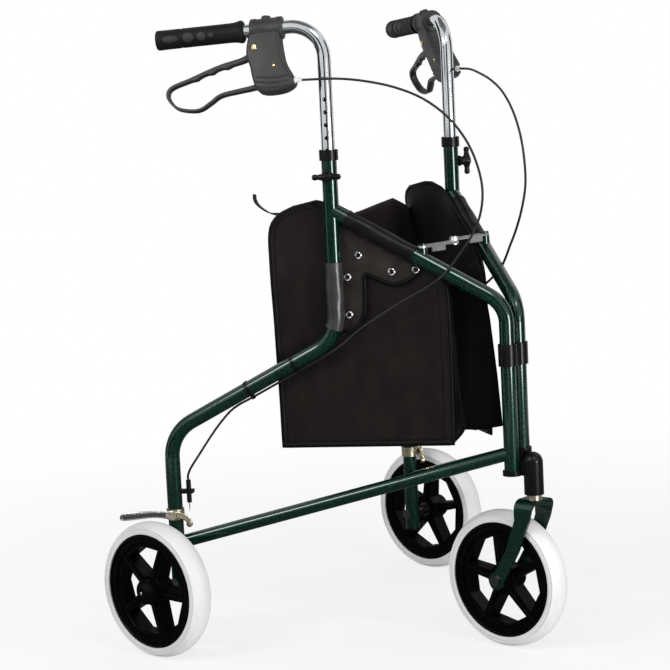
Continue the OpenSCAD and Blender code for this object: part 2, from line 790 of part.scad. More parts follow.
// Brake housing clamped on the handle, slotted for the lever, with the cable's ferrule
module brake_housing() {
    slot_w = lever_w + 2 * slot_clear;
    start = brake_setback + brake_len * (1 - brake_clamp_share) / 2;
    color(black) difference() {
        union() {
            frame_plate(from_shares(brake_outline_shares, brake_corner, brake_size), -brake_w / 2, brake_w);
            on_handle() translate([0, 0, start]) cylinder(h = brake_len * brake_clamp_share, r = brake_clamp_r);
        }
        on_handle() translate([0, 0, start - brake_len]) cylinder(h = 3 * brake_len, r = handle_r + run_clear);
        translate([-slot_w / 2, pivot[0] - brake_len / 2, brake_bottom_z - overrun])
            cube([slot_w, brake_len, pivot[1] + lever_hub_r + slot_clear - brake_bottom_z + overrun]);
        cross_bar(pivot[0], pivot[1], -brake_w, 2 * brake_w, pin_r + run_clear);
    }
    color(zinc) translate([ferrule_n, ferrule_at[0] + ferrule_r, ferrule_at[1]])
        rotate([90, 0, 0]) cylinder(h = ferrule_len + ferrule_r, r = ferrule_r);
}

module lever_pin() {
    color(zinc) cross_bar(pivot[0], pivot[1], -brake_w / 2, brake_w, pin_r);
}

// Closed loop lever: a bar round the fingers and an arm back to the pivot
module brake_lever() {
    count = len(lever_points);
    color(black) difference() {
        translate([-lever_w / 2, 0, 0]) in_plane() linear_extrude(height = lever_w) union() {
            for (i = [0 : count - 1]) {
                a = lever_points[i];
                b = lever_points[(i + 1) % count];
                translate(a) circle(r = lever_bar / 2 + bend_step);
                translate(a) rotate(heading(a, b)) translate([0, -lever_bar / 2]) square([norm(b - a), lever_bar]);
            }
            translate(pivot) circle(r = lever_hub_r);
        }
        cross_bar(pivot[0], pivot[1], -lever_w, 2 * lever_w, pin_r + run_clear);
    }
}

// Wing knob: screw through the upright's wall, neck and two wings turned by an angle
module wing_knob(wing_angle) {
    tip_n = handle_r + body_gap;
    neck_n = tube_r + body_gap;
    wing_n = neck_n + knob_boss_h + knob_neck_h;
    lobe_r = knob_wing_t * knob_lobe_share;
    color(black) {
        cross_bar(upright_reach, knob_z, tip_n, wing_n - tip_n, knob_screw_r);
        cross_bar(upright_reach, knob_z, neck_n, wing_n + knob_wing_h - neck_n, knob_boss_r);
        translate([wing_n, upright_reach, knob_z]) rotate([wing_angle, 0, 0]) {
            translate([0, -knob_span / 2 + lobe_r, -knob_wing_t / 2])
                cube([knob_wing_h, knob_span - 2 * lobe_r, knob_wing_t]);
            for (y = [lobe_r - knob_span / 2, knob_span / 2 - lobe_r]) translate([0, y, 0])
                rotate([0, 90, 0]) cylinder(h = knob_wing_h, r = lobe_r);
        }
    }
}

// Link from a stud on the front tube to the middle of the brace, with a flange turned down along its front
// edge and half of the middle rivet
module brace_link(lift, rivet_up) {
    rivet_z = rivet_up ? brace_z + lift + brace_t : brace_z + lift - brace_head_h;
    color(zinc) {
        difference() {
            union() {
                translate([0, brace_reach * cos(half_angle) - brace_w / 2, brace_z + lift])
                    cube([brace_len, brace_w, brace_t]);
                for (x = [0, brace_len]) translate([x, brace_reach * cos(half_angle), brace_z + lift])
                    cylinder(h = brace_t, r = brace_w / 2);
                translate([2 * brace_w, brace_reach * cos(half_angle) - brace_w / 2, brace_z + lift + brace_t - flange_h])
                    cube([brace_len - 3 * brace_w, flange_t, flange_h]);
            }
            translate([brace_len, brace_reach * cos(half_angle), brace_z + lift - overrun])
                cylinder(h = brace_t + 2 * overrun, r = brace_pin_r + run_clear);
        }
        translate([0, brace_reach * cos(half_angle), rivet_z]) cylinder(h = brace_head_h, r = brace_head_r);
    }
}

// Side panel of the bag with its wraps round the tubes and the studded flap
module bag_panel() {
    arc_centre = [bag_front + bag_len - panel_corner, bag_top_z - panel_corner];
    outline = concat(
        [[bag_front, bag_bottom_z], [bag_front + bag_len, bag_bottom_z]],
        [for (a = [0 : panel_arc_step : 90]) along(arc_centre, a, panel_corner)],
        [[bag_front + panel_peak_share * bag_len, bag_top_z]],
        [for (i = [0 : len(panel_front_shares) - 1]) let (u = bag_front + panel_front_shares[i] * bag_len)
            [u, front_axis_z(u) - panel_front_drops[i]]]
    );
    wrap_bottom = knee_z + setback(main_path, 1, main_bend_r) + body_gap;
    front_run = upright_reach / cos(front_slope);
    color(vinyl) difference() {
        union() {
            frame_plate(outline, -panel_n - bag_t, bag_t);
            frame_plate(below_front(flap_shares), -panel_n, flap_t);
            translate([0, upright_reach, wrap_bottom]) cylinder(h = upright_wrap_h, r = wrap_in_r + wrap_t);
            in_plane() translate([0, post_corner_z]) rotate([0, 90, front_slope])
                translate([0, 0, front_run * front_wrap_shares[0]])
                    cylinder(h = front_run * (front_wrap_shares[1] - front_wrap_shares[0]), r = wrap_in_r + wrap_t);
        }
        translate([0, upright_reach, knee_z]) cylinder(h = bag_h, r = wrap_in_r);
        in_plane() translate([0, post_corner_z]) rotate([0, 90, front_slope])
            cylinder(h = front_run + tube_d, r = wrap_in_r);
        in_plane() bent_tube(main_path, main_bend_r, wrap_in_r);
    }
}

// Cupped press studs on the flap
module studs() {
    color(zinc) for (p = below_front(stud_shares))
        translate([flap_t - panel_n, p[0], p[1]]) rotate([0, 90, 0]) difference() {
            cylinder(h = stud_h, r = stud_r);
            translate([0, 0, stud_h / 2]) cylinder(h = stud_h, r = stud_r - stud_rim);
        }
}

// Front wall, base and rear wall of the bag between its side panels
module bag_gussets() {
    front = in_plan(bag_front, -gusset_n);
    rear = in_plan(bag_front + bag_len, -gusset_n);
    plan = [front, rear, [-rear[0], rear[1]], [-front[0], front[1]]];
    color(vinyl) translate([0, -origin_y, bag_bottom_z]) {
        linear_extrude(height = bag_t) polygon(plan);
        intersection() {
            linear_extrude(height = bag_h) polygon(plan);
            union() {
                translate([-front[0] - bag_len, front[1], 0])
                    cube([2 * (front[0] + bag_len), bag_t, bag_h * gusset_front_share]);
                translate([-rear[0], rear[1] - bag_t, 0]) cube([2 * rear[0], bag_t, bag_h * gusset_rear_share]);
            }
        }
    }
}

// Brake cable: one skin of rings swept along its route
module cable() {
    pts = [for (p = cable_route) [p[2], p[0], p[1]]];
    last = len(pts) - 1;
    function way(i) = pts[min(i + 1, last)] - pts[max(i - 1, 0)];
    function unit(v) = v / norm(v);
    function across(i) = unit(cross(way(i), [1, 0, 0]));
    rings = [for (i = [0 : last]) for (k = [0 : cable_sides - 1])
        pts[i] + cable_d / 2 * (cos(360 * k / cable_sides) * across(i)
            + sin(360 * k / cable_sides) * unit(cross(way(i), across(i))))];
    start_cap = [for (k = [1 : cable_sides - 2]) [0, k, k + 1]];
    end_cap = [for (k = [1 : cable_sides - 2]) [0, k + 1, k] + [1, 1, 1] * last * cable_sides];
    skin = [for (i = [0 : last - 1]) for (k = [0 : cable_sides - 1]) for (half = [0, 1])
        let (a = i * cable_sides + k, b = i * cable_sides + (k + 1) % cable_sides)
        half == 0 ? [a, a + cable_sides, b] : [b, a + cable_sides, b + cable_sides]];
    color(black) polyhedron(points = rings, faces = concat(start_cap, skin, end_cap));
}

// Ties that hold the cable under the diagonal
module cable_ties() {
    color(black) in_plane() for (share = tie_shares)
        translate(concat(along(main_path[1], knee_slope, knee_run * share), 0)) rotate([0, 90, knee_slope]) difference() {
            union() {
                cylinder(h = tie_w, r = tube_r + run_clear + tie_wall);
                translate([0, -tie_drop, 0])
                    cylinder(h = tie_w, r = cable_d / 2 + tie_cable_clear + tie_wall);
            }
            translate([0, 0, -overrun]) cylinder(h = tie_w + 2 * overrun, r = tube_r + run_clear);
            translate([0, -tie_drop, -overrun])
                cylinder(h = tie_w + 2 * overrun, r = cable_d / 2 + tie_cable_clear);
        }
}

head_casting();
head_cap();
hinge_clamp();
caster_bushes();
fork();
caster_stem();
crown_race();
front_axle();
front_wheel_at() tyre();  // front_tyre
front_wheel_at() rim(-front_hub_half, front_hub_half, front_spoke_turn);  // front_rim
front_wheel_at() bearings(-front_hub_half, front_hub_half);  // front_bearings
bag_gussets();
on_frame(-1) main_tube();  // right_main_tube
on_frame(1) main_tube();  // left_main_tube
on_frame(-1) front_tube(0);  // right_front_tube
on_frame(1) front_tube(left_lift);  // left_front_tube
on_frame(-1) stay();  // right_stay
on_frame(1) stay();  // left_stay
on_frame(-1) collar();  // right_collar
on_frame(1) collar();  // left_collar
on_frame(-1) leg_plug();  // right_leg_plug
on_frame(1) leg_plug();  // left_leg_plug
side(-1) rear_axle();  // right_axle
side(1) rear_axle();  // left_axle
on_frame(-1) brake_band();  // right_brake_band
on_frame(1) brake_band();  // left_brake_band
on_frame(-1) cable_stop();  // right_cable_stop
on_frame(1) cable_stop();  // left_cable_stop
on_frame(-1) cable();  // right_cable
on_frame(1) cable();  // left_cable
on_frame(-1) cable_ties();  // right_cable_ties
on_frame(1) cable_ties();  // left_cable_ties
on_frame(-1) bag_panel();  // right_bag_panel
on_frame(1) bag_panel();  // left_bag_panel
on_frame(-1) studs();  // right_studs
on_frame(1) studs();  // left_studs
rear_wheel_at(-1) tyre();  // right_tyre
rear_wheel_at(1) tyre();  // left_tyre
rear_wheel_at(-1) rim(-rear_hub_half, rear_hub_half + hub_boss, right_spoke_turn);  // right_rim
rear_wheel_at(1) rim(-rear_hub_half, rear_hub_half + hub_boss, left_spoke_turn);  // left_rim
rear_wheel_at(-1) bearings(-rear_hub_half, rear_hub_half);  // right_bearings
rear_wheel_at(1) bearings(-rear_hub_half, rear_hub_half);  // left_bearings
rear_wheel_at(-1) hub_cap();  // right_hub_cap
rear_wheel_at(1) hub_cap();  // left_hub_cap
on_frame(-1) handle_tube();  // right_handle_tube
on_frame(1) handle_tube();  // left_handle_tube
on_frame(-1) grip();  // right_grip
on_frame(1) grip();  // left_grip
on_frame(-1) on_brake() brake_housing();  // right_brake_housing
on_frame(1) on_brake() brake_housing();  // left_brake_housing
on_frame(-1) on_brake() lever_pin();  // right_lever_pin
on_frame(1) on_brake() lever_pin();  // left_lever_pin
on_frame(-1) on_brake() brake_lever();  // right_brake_lever
on_frame(1) on_brake() brake_lever();  // left_brake_lever
on_frame(-1) brake_shoe();  // right_brake_shoe
on_frame(1) brake_shoe();  // left_brake_shoe
on_frame(-1) wing_knob(0);  // right_wing_knob
on_frame(1) wing_knob(90);  // left_wing_knob
side(-1) brace_link(0, false);  // right_brace_link
side(1) brace_link(left_lift, true);  // left_brace_link
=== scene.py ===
"""Looks of the three wheel rollator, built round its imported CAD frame.

Lengths below are in millimetres unless a name says otherwise, and mm() turns a point into metres.
A place on a side frame is given as u, z and n: distance behind the hinge post, height, and distance outboard.
"""

import math

import bmesh
import bpy
import numpy as np
from mathutils import Matrix, Vector


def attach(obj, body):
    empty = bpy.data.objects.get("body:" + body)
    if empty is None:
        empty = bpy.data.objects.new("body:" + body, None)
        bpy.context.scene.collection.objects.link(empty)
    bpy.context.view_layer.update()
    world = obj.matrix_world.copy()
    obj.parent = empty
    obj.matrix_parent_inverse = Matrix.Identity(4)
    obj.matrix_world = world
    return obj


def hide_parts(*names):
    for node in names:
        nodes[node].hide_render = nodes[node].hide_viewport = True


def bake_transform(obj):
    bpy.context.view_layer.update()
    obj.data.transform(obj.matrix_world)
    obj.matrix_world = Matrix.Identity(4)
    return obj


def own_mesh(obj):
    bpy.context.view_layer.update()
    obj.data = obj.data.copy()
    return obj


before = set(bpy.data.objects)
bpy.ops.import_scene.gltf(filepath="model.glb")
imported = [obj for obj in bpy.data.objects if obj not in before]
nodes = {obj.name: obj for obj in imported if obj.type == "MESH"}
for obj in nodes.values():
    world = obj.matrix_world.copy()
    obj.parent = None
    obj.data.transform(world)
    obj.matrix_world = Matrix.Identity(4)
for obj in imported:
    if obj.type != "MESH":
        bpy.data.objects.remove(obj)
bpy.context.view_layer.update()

# Sizes shared with the part's source
MM = 0.001
HALF_ANGLE = math.radians(31)
POST_X = 12.5
LEG_REACH = 497
FRONT_AXLE_Y = 26
AXLE_Z = 100
REAR_X = 314.974
REAR_Y = LEG_REACH * math.cos(HALF_ANGLE)
ORIGIN_Y = (REAR_Y + FRONT_AXLE_Y) / 2
UPRIGHT_U = 243
TUBE_R = 11
FRONT_CORNER_Z = 499
FRONT_RISE = (640 - FRONT_CORNER_Z) / UPRIGHT_U
KNEE_CENTRE = (303, 493.2)
KNEE_R = 60
HANDLE_CORNER = (UPRIGHT_U, 903)
HANDLE_END = (479, 890)
HANDLE_LEN = math.dist(HANDLE_CORNER, HANDLE_END)
HANDLE_SLOPE = math.atan2(HANDLE_END[1] - HANDLE_CORNER[1], HANDLE_END[0] - HANDLE_CORNER[0])
BRAKE_ROLL = math.radians(17)
SIDES = {"right": -1, "left": 1}
UP = Vector((0, 0, MM))


def mm(x, y, z):
    """A point given in the source's own plan, with the hinge posts at y = 0."""
    return Vector((x, y - ORIGIN_Y, z)) * MM


def at(side, u, z, n=0.0):
    """A point of a side frame."""
    x = POST_X + u * math.sin(HALF_ANGLE) + n * math.cos(HALF_ANGLE)
    y = u * math.cos(HALF_ANGLE) - n * math.sin(HALF_ANGLE)
    return mm(side * x, y, z)


def brake_at(side, u, z, n=0.0):
    """A point of the hand brake, whose lower end leans outboard round the handle's axis."""
    axis = Vector((0, math.cos(HANDLE_SLOPE), math.sin(HANDLE_SLOPE)))
    hub = Vector((0, *HANDLE_CORNER))
    arm = Vector((n, u, z)) - hub
    along = axis * axis.dot(arm)
    across = arm - along
    p = hub + along + across * math.cos(BRAKE_ROLL) - axis.cross(across) * math.sin(BRAKE_ROLL)
    return at(side, p.y, p.z, p.x)


def outward(side):
    return at(side, 0, 0, 1) - at(side, 0, 0, 0)


def rearward(side):
    return at(side, 1, 0, 0) - at(side, 0, 0, 0)


def brake_outward(side):
    return brake_at(side, 0, 0, 1) - brake_at(side, 0, 0, 0)


def smooth_step(t):
    t = min(max(t, 0.0), 1.0)
    return t * t * (3 - 2 * t)


def lerp(a, b, t):
    return a + (b - a) * t


def from_table(table, x):
    """Value at x on a line of (x, value) pairs, x rising."""
    return float(np.interp(x, [p[0] for p in table], [p[1] for p in table]))


def through(points, steps, closed=False):
    """Smooth Catmull-Rom line through points of any dimension."""
    pts = [Vector(p) for p in points]
    count = len(pts)
    out = []
    for i in range(count if closed else count - 1):
        pick = (lambda k: pts[k % count]) if closed else (lambda k: pts[min(max(k, 0), count - 1)])
        p0, p1, p2, p3 = pick(i - 1), pick(i), pick(i + 1), pick(i + 2)
        for k in range(steps):
            t = k / steps
            out.append(
                0.5 * (2 * p1 + (p2 - p0) * t + (2 * p0 - 5 * p1 + 4 * p2 - p3) * t**2
                       + (3 * p1 - p0 - 3 * p2 + p3) * t**3))
    if not closed:
        out.append(pts[-1])
    return out


def turns(count):
    """Angles that divide a full turn evenly."""
    return [2 * math.pi * k / count for k in range(count)]


def heading(line, i, closed=False):
    """Way along a line at its point i, from the point before to the point after."""
    count = len(line)
    ahead = line[(i + 1) % count] if closed else line[min(i + 1, count - 1)]
    behind = line[i - 1] if closed or i else line[0]
    return ahead - behind


def left_of(line, i, closed=False):
    """Unit normal to the left of a flat line at its point i."""
    way = heading(line, i, closed)
    return Vector((-way.y, way.x)).normalized()


def flat_area(outline):
    """Area of a flat outline, in square metres."""
    pairs = zip(outline, outline[1:] + outline[:1])
    return abs(sum(a[0] * b[1] - b[0] * a[1] for a, b in pairs)) / 2 * MM * MM


# Materials


def fill(node, values):
    """Sets a node's sockets by their names, with _ for a space."""
    for key, value in values.items():
        node.inputs[key.replace("_", " ")].default_value = value


def new_node(tree, kind, **values):
    node = tree.nodes.new(f"ShaderNode{kind}")
    fill(node, values)
    return node


class Shader:
    """A node material round one Principled shader, with textures placed in object space."""

    def __init__(self, name, colour, roughness, metallic=0.0, **sockets):
        self.material = bpy.data.materials.new(name)
        self.material.use_nodes = True
        self.tree = self.material.node_tree
        self.shader = self.tree.nodes["Principled BSDF"]
        fill(self.shader, {"Base_Color": (*colour, 1), "Roughness": roughness, "Metallic": metallic})
        fill(self.shader, sockets)
        self.coords = new_node(self.tree, "TexCoord").outputs["Object"]
        self.height = None

    def link(self, a, b):
        self.tree.links.new(a, b)

    def placed(self, turn_z=0.0, stretch=(1, 1, 1)):
        mapping = new_node(self.tree, "Mapping", Rotation=(0, 0, turn_z), Scale=stretch)
        self.link(self.coords, mapping.inputs["Vector"])
        return mapping.outputs["Vector"]

    def noise(self, scale, detail=3.0, where=None):
        node = new_node(self.tree, "TexNoise", Scale=scale, Detail=detail)
        self.link(where or self.coords, node.inputs["Vector"])
        return node.outputs["Fac"]

    def cells(self, scale):
        node = new_node(self.tree, "TexVoronoi", Scale=scale)
        self.link(self.coords, node.inputs["Vector"])
        return node.outputs["Distance"]

    def bands(self, scale, axis, where):
        node = new_node(self.tree, "TexWave", Scale=scale)
        node.bands_direction = axis
        self.link(where, node.inputs["Vector"])
        return node.outputs["Fac"]

    def maths(self, kind, a, b):
        node = new_node(self.tree, "Math")
        node.operation = kind
        self.link(a, node.inputs[0])
        if isinstance(b, float):
            node.inputs[1].default_value = b
        else:
            self.link(b, node.inputs[1])
        return node.outputs[0]

    def colour(self, factor, low, high, start=0.3, end=0.7):
        """Base colour that runs from low to high as the factor goes from start to end."""
        ramp = new_node(self.tree, "ValToRGB")
        ramp.color_ramp.elements[0].position = start
        ramp.color_ramp.elements[0].color = (*low, 1)
        ramp.color_ramp.elements[1].position = end
        ramp.color_ramp.elements[1].color = (*high, 1)
        self.link(factor, ramp.inputs["Fac"])
        self.link(ramp.outputs["Color"], self.shader.inputs["Base Color"])

    def rough(self, factor, low, high):
        span = new_node(self.tree, "MapRange", To_Min=low, To_Max=high)
        self.link(factor, span.inputs["Value"])
        self.link(span.outputs["Result"], self.shader.inputs["Roughness"])

    def bump(self, factor, depth_mm, strength=1.0):
        node = new_node(self.tree, "Bump", Distance=depth_mm * MM, Strength=strength)
        self.link(factor, node.inputs["Height"])
        if self.height is not None:
            self.link(self.height, node.inputs["Normal"])
        self.height = node.outputs["Normal"]
        self.link(self.height, self.shader.inputs["Normal"])


def enamel():
    """Dark metallic green with a fine hammered texture under a clear coat."""
    s = Shader("green_enamel", (0.0006, 0.017, 0.0105), 0.25, 0.4, Specular_IOR_Level=0.06,
               Coat_Weight=1.0, Coat_Roughness=0.1, Coat_IOR=1.45)
    s.colour(s.noise(330, 4), (0.0003, 0.0065, 0.004), (0.001, 0.04, 0.025), 0.32, 0.72)
    s.rough(s.noise(420, 2), 0.2, 0.34)
    s.bump(s.noise(150, 3), 0.35, 0.1)
    return s.material


def metal(name, colour, low, high, scale):
    s = Shader(name, colour, low, 1.0)
    grain = s.noise(scale, 4)
    s.colour(grain, tuple(c * 0.9 for c in colour), colour, 0.3, 0.7)
    s.rough(s.noise(scale * 0.6, 3), low, high)
    s.bump(grain, 0.05, 0.15)
    return s.material


def moulded(name, dark, light, low, high, grain_scale, grain_mm, specular):
    s = Shader(name, dark, low, Specular_IOR_Level=specular)
    s.colour(s.noise(40, 4), dark, light, 0.3, 0.75)
    s.rough(s.noise(90, 3), low, high)
    s.bump(s.noise(grain_scale, 2), grain_mm, 0.5)
    return s.material


def tyre_rubber():
    s = Shader("pale_tyre", (0.72, 0.722, 0.722), 0.5, Specular_IOR_Level=0.35)
    s.colour(s.noise(14, 4), (0.68, 0.68, 0.678), (0.76, 0.763, 0.766), 0.3, 0.7)
    s.rough(s.noise(120, 3), 0.42, 0.6)
    s.bump(s.noise(900, 3), 0.08, 0.35)
    return s.material


def coated_cloth(name, turn_z, dark, light, specular):
    """Black coated cloth: a fine plain weave under a soft coating, with a few long scuffs."""
    s = Shader(name, dark, 0.5, Specular_IOR_Level=specular, Sheen_Weight=0.03, Sheen_Roughness=0.5)
    where = s.placed(turn_z)
    weave = s.maths("MULTIPLY", s.bands(210, "X", where), s.bands(210, "Z", where))
    slub = s.noise(45, 5, s.placed(turn_z, (1, 1, 0.5)))
    shade = s.maths("ADD", s.maths("MULTIPLY", weave, 0.3), s.maths("MULTIPLY", slub, 0.7))
    s.colour(shade, dark, light, 0.25, 0.75)
    s.rough(s.noise(35, 4), 0.4, 0.58)
    s.bump(weave, 0.16, 0.35)
    s.bump(slub, 0.5, 0.25)
    return s.material


def leathery(name, dark, light, low, high, specular):
    """Smooth vinyl with a leather-like grain, for bindings, wraps and flaps."""
    s = Shader(name, dark, low, Specular_IOR_Level=specular)
    s.colour(s.noise(50, 4), dark, light, 0.35, 0.75)
    s.rough(s.noise(70, 3), low, high)
    s.bump(s.cells(620), 0.12, 0.25)
    return s.material


GREEN = enamel()
CHROME = metal("bright_chrome", (0.6, 0.63, 0.65), 0.05, 0.13, 90)
ZINC = metal("yellow_zinc", (0.66, 0.6, 0.44), 0.2, 0.38, 160)
SATIN = metal("satin_zinc", (0.74, 0.74, 0.75), 0.32, 0.48, 140)
STEEL = metal("polished_steel", (0.66, 0.66, 0.66), 0.1, 0.24, 140)
DARK_STEEL = metal("dark_steel", (0.12, 0.118, 0.115), 0.28, 0.44, 160)
BRASS = metal("brass_screw", (0.72, 0.58, 0.26), 0.18, 0.32, 150)
BLACK = moulded("black_moulding", (0.0034, 0.003, 0.003), (0.0068, 0.006, 0.0058), 0.2, 0.32, 900, 0.06, 0.17)
GREY = moulded(
    "grey_moulding", (0.0215, 0.0207, 0.0197), (0.0315, 0.0304, 0.0293), 0.42, 0.58, 1100, 0.1, 0.35)
LEVER = moulded("lever_moulding", (0.009, 0.0088, 0.008), (0.014, 0.0137, 0.0126), 0.36, 0.5, 900, 0.07, 0.35)
GRIP = moulded("grip_rubber", (0.004, 0.0038, 0.0037), (0.0085, 0.008, 0.0077), 0.5, 0.68, 800, 0.12, 0.16)
RIM = moulded("rim_nylon", (0.0014, 0.001, 0.001), (0.0028, 0.0021, 0.0021), 0.26, 0.42, 500, 0.05, 0.06)
SHEATH = moulded("cable_sheath", (0.008, 0.008, 0.008), (0.014, 0.014, 0.014), 0.35, 0.5, 1500, 0.05, 0.35)
PAD = moulded("grip_pad", (0.017, 0.0164, 0.016), (0.032, 0.031, 0.0305), 0.5, 0.66, 900, 0.15, 0.3)
PALE = moulded("pale_nylon", (0.6, 0.6, 0.58), (0.74, 0.74, 0.72), 0.35, 0.5, 700, 0.05, 0.5)
TYRE = tyre_rubber()
CLOTH_DARK = (0.0052, 0.0037, 0.0033)
CLOTH_LIGHT = (0.0125, 0.0096, 0.0087)
CLOTH = {name: coated_cloth(f"bag_cloth_{name}", -side * HALF_ANGLE, CLOTH_DARK, CLOTH_LIGHT, 0.11)
         for name, side in SIDES.items()}
# The gusset's cloth is painted much darker than the panels' cloth: painted shade on the recessed front wall
# and base
GUSSET = coated_cloth("bag_cloth_gusset_painted_shade", 0.0, (0.0012, 0.0008, 0.0008), (0.0034, 0.0026, 0.0025), 0.04)
# Lighter copy of the cloth for the gusset's rear wall: painted sheen
LIT_REAR_CLOTH = coated_cloth("bag_cloth_rear_painted_sheen", 0.0, (0.0085, 0.0064, 0.006), (0.018, 0.0145, 0.0135), 0.14)
BINDING = leathery("bag_binding", (0.0018, 0.0014, 0.0014), (0.004, 0.0034, 0.0033), 0.4, 0.55, 0.1)
# Flap vinyl, lighter than the panels' cloth: partly its own tone, partly painted sheen on the flap's tongue
FLAP = leathery("bag_flap_tone_and_sheen", (0.0125, 0.01, 0.0092), (0.026, 0.0214, 0.0198), 0.38, 0.54, 0.16)
# The upright wrap is the same black vinyl as the front wrap, painted lighter: a painted highlight along the
# wrap
UPRIGHT_WRAP = leathery("upright_wrap_painted_highlight", (0.02, 0.0195, 0.0203), (0.038, 0.0372, 0.0388), 0.26, 0.38, 0.5)
FRONT_WRAP = leathery("front_wrap", (0.004, 0.0032, 0.0032), (0.009, 0.0076, 0.0074), 0.26, 0.4, 0.14)
THREAD = moulded("bag_thread", (0.012, 0.0105, 0.0098), (0.022, 0.0195, 0.0185), 0.5, 0.65, 2500, 0.08, 0.2)

# Mesh building


def new_object(name, data):
    obj = bpy.data.objects.new(name, data)
    bpy.context.scene.collection.objects.link(obj)
    return obj


def piece(name, verts, faces, material, slot, body=None, sharp=35.0):
    """A new mesh piece with outward faces and smooth shading, riding on a body."""
    mesh = bpy.data.meshes.new(name)
    mesh.from_pydata([tuple(v) for v in verts], [], faces)
    work = bmesh.new()
    work.from_mesh(mesh)
    bmesh.ops.recalc_face_normals(work, faces=work.faces)
    work.to_mesh(mesh)
    work.free()
    mesh.shade_smooth()
    mesh.set_sharp_from_angle(angle=math.radians(sharp))
    mesh.materials.append(material)
    obj = new_object(name, mesh)
    if body:
        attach(obj, body)
    return obj


def joined(*parts):
    """Several vertex and face lists as one."""
    verts, faces = [], []
    for part_verts, part_faces in parts:
        start = len(verts)
        verts += list(part_verts)
        faces += [tuple(i + start for i in f) for f in part_faces]
    return verts, faces


def bridge(rings, closed_path=False, caps=True, closed_ring=True):
    """Faces that join equal rings of points into a skin."""
    count, size = len(rings), len(rings[0])
    verts = [p for r in rings for p in r]
    faces = []
    for i in range(count if closed_path else count - 1):
        a, b = i * size, (i + 1) % count * size
        for k in range(size if closed_ring else size - 1):
            m = (k + 1) % size
            faces.append((a + k, a + m, b + m, b + k))
    if caps and not closed_path:
        faces.append(tuple(range(size))[::-1])
        faces.append(tuple((count - 1) * size + k for k in range(size)))
    return verts, faces


def sweep(path, section, across, closed=False, caps=True):
    """A section swept along a path: section(t) gives offsets across and along the third direction."""
    pts = [Vector(p) for p in path]
    count = len(pts)
    rings = []
    side = Vector(across).normalized()
    for i, p in enumerate(pts):
        way = heading(pts, i, closed).normalized()
        side = (side - way * side.dot(way)).normalized()
        other = way.cross(side)
        rings.append([p + side * a * MM + other * b * MM for a, b in section(i / max(count - 1, 1))])
    return bridge(rings, closed, caps)


def circle(radius, sides=16):
    return [(radius * math.cos(a), radius * math.sin(a)) for a in turns(sides)]


def round_box(width, height, radius, steps=4):
    """Section of a bar with rounded corners."""
    out = []
    for quarter, (sx, sy) in enumerate(((1, 1), (-1, 1), (-1, -1), (1, -1))):
        for k in range(steps + 1):
            a = (quarter + k / steps) * math.pi / 2
            x = sx * (width / 2 - radius) + radius * math.cos(a)
            y = sy * (height / 2 - radius) + radius * math.sin(a)
            out.append((x, y))
    return out


def tube(path, radius, sides=16, closed=False):
    return sweep(path, lambda t: circle(radius, sides), (0.13, 0.31, 0.94), closed)


def lathe(profile, centre, axis, sides=64):
    """A profile of (radius, distance) turned round an axis."""
    axis = Vector(axis).normalized()
    side = axis.orthogonal().normalized()
    other = axis.cross(side)
    rings = []
    for r, d in profile:
        rings.append([
            Vector(centre) + (axis * d + (side * math.cos(a) + other * math.sin(a)) * r) * MM
            for a in turns(sides)])
    return bridge(rings)


def stitches(line, step=5.0, run=3.2, radius=0.5):
    """Short threads laid along a line."""
    marks = [0.0]
    for a, b in zip(line, line[1:]):
        marks.append(marks[-1] + (b - a).length / MM)
    xyz = np.array([tuple(p) for p in line])

    def place(s):
        return Vector([float(np.interp(s, marks, xyz[:, k])) for k in range(3)])

    starts = np.arange(1.0, marks[-1] - run, step)
    return joined(*[tube([place(s), place(s + run)], radius, 6) for s in starts])


# CAD nodes that keep their shape
KEPT = {
    "head_casting": BLACK, "head_cap": BLACK, "hinge_clamp": BLACK, "caster_bushes": ZINC, "fork": GREEN,
    "caster_stem": ZINC, "crown_race": ZINC, "front_axle": DARK_STEEL, "front_rim": RIM,
    "front_bearings": DARK_STEEL}
KEPT_PAIRS = {
    "main_tube": GREEN, "front_tube": GREEN, "stay": GREEN, "collar": BLACK, "leg_plug": BLACK,
    "axle": DARK_STEEL, "brake_band": ZINC, "cable_stop": BLACK, "cable_ties": BLACK, "rim": RIM,
    "bearings": DARK_STEEL, "hub_cap": RIM, "handle_tube": CHROME, "lever_pin": BRASS, "brace_link": SATIN}
for side_name in SIDES:
    KEPT.update({f"{side_name}_{node}": material for node, material in KEPT_PAIRS.items()})
BEVELLED = {
    "fork": 1.2, "head_casting": 1.0, "hinge_clamp": 0.8, "collar": 1.0, "brace_link": 0.6, "rim": 1.0,
    "hub_cap": 0.8, "front_rim": 1.0, "cable_stop": 0.6, "brake_band": 0.5}
for node, material in KEPT.items():
    nodes[node].data.materials.clear()
    nodes[node].data.materials.append(material)
    width = BEVELLED.get(node.removeprefix("right_").removeprefix("left_"))
    if width:
        edge = nodes[node].modifiers.new("rounded_edges", "BEVEL")
        edge.width = width * MM
        edge.segments = 2
        edge.limit_method = "ANGLE"
        edge.angle_limit = math.radians(50)

# Wheels: tyre tread, and the thin ribs, lips and hub trim of the rim
WHEEL_R = 100
TYRE_HALF = 18
CROWN_R = 26
SEAT_R = 84.1
WEB_FACE = 12
HUB_TIP = 32
SPOKES = 5
TREAD_STEPS = 24
TYRE_TURNS = 160
GROOVE_X = 12.75
GROOVE_HALF = 0.8
GROOVE_DEEP = 0.5
# Tyre flank as radius and depth below the flank's face
FLANK = [(91.6, 0), (90.6, 0.7), (89.8, 0.1), (87, 0), (SEAT_R, 0.6)]
# Spoke rib as radius and height above the web
RIB_LINE = [(17.5, 2.4), (24, 1.6), (52, 0.8), (77, 0.4)]
RIB_WIDE = (3.4, 2.6)
RIB_TALL = 3.2
RIB_ROUND = 1.0
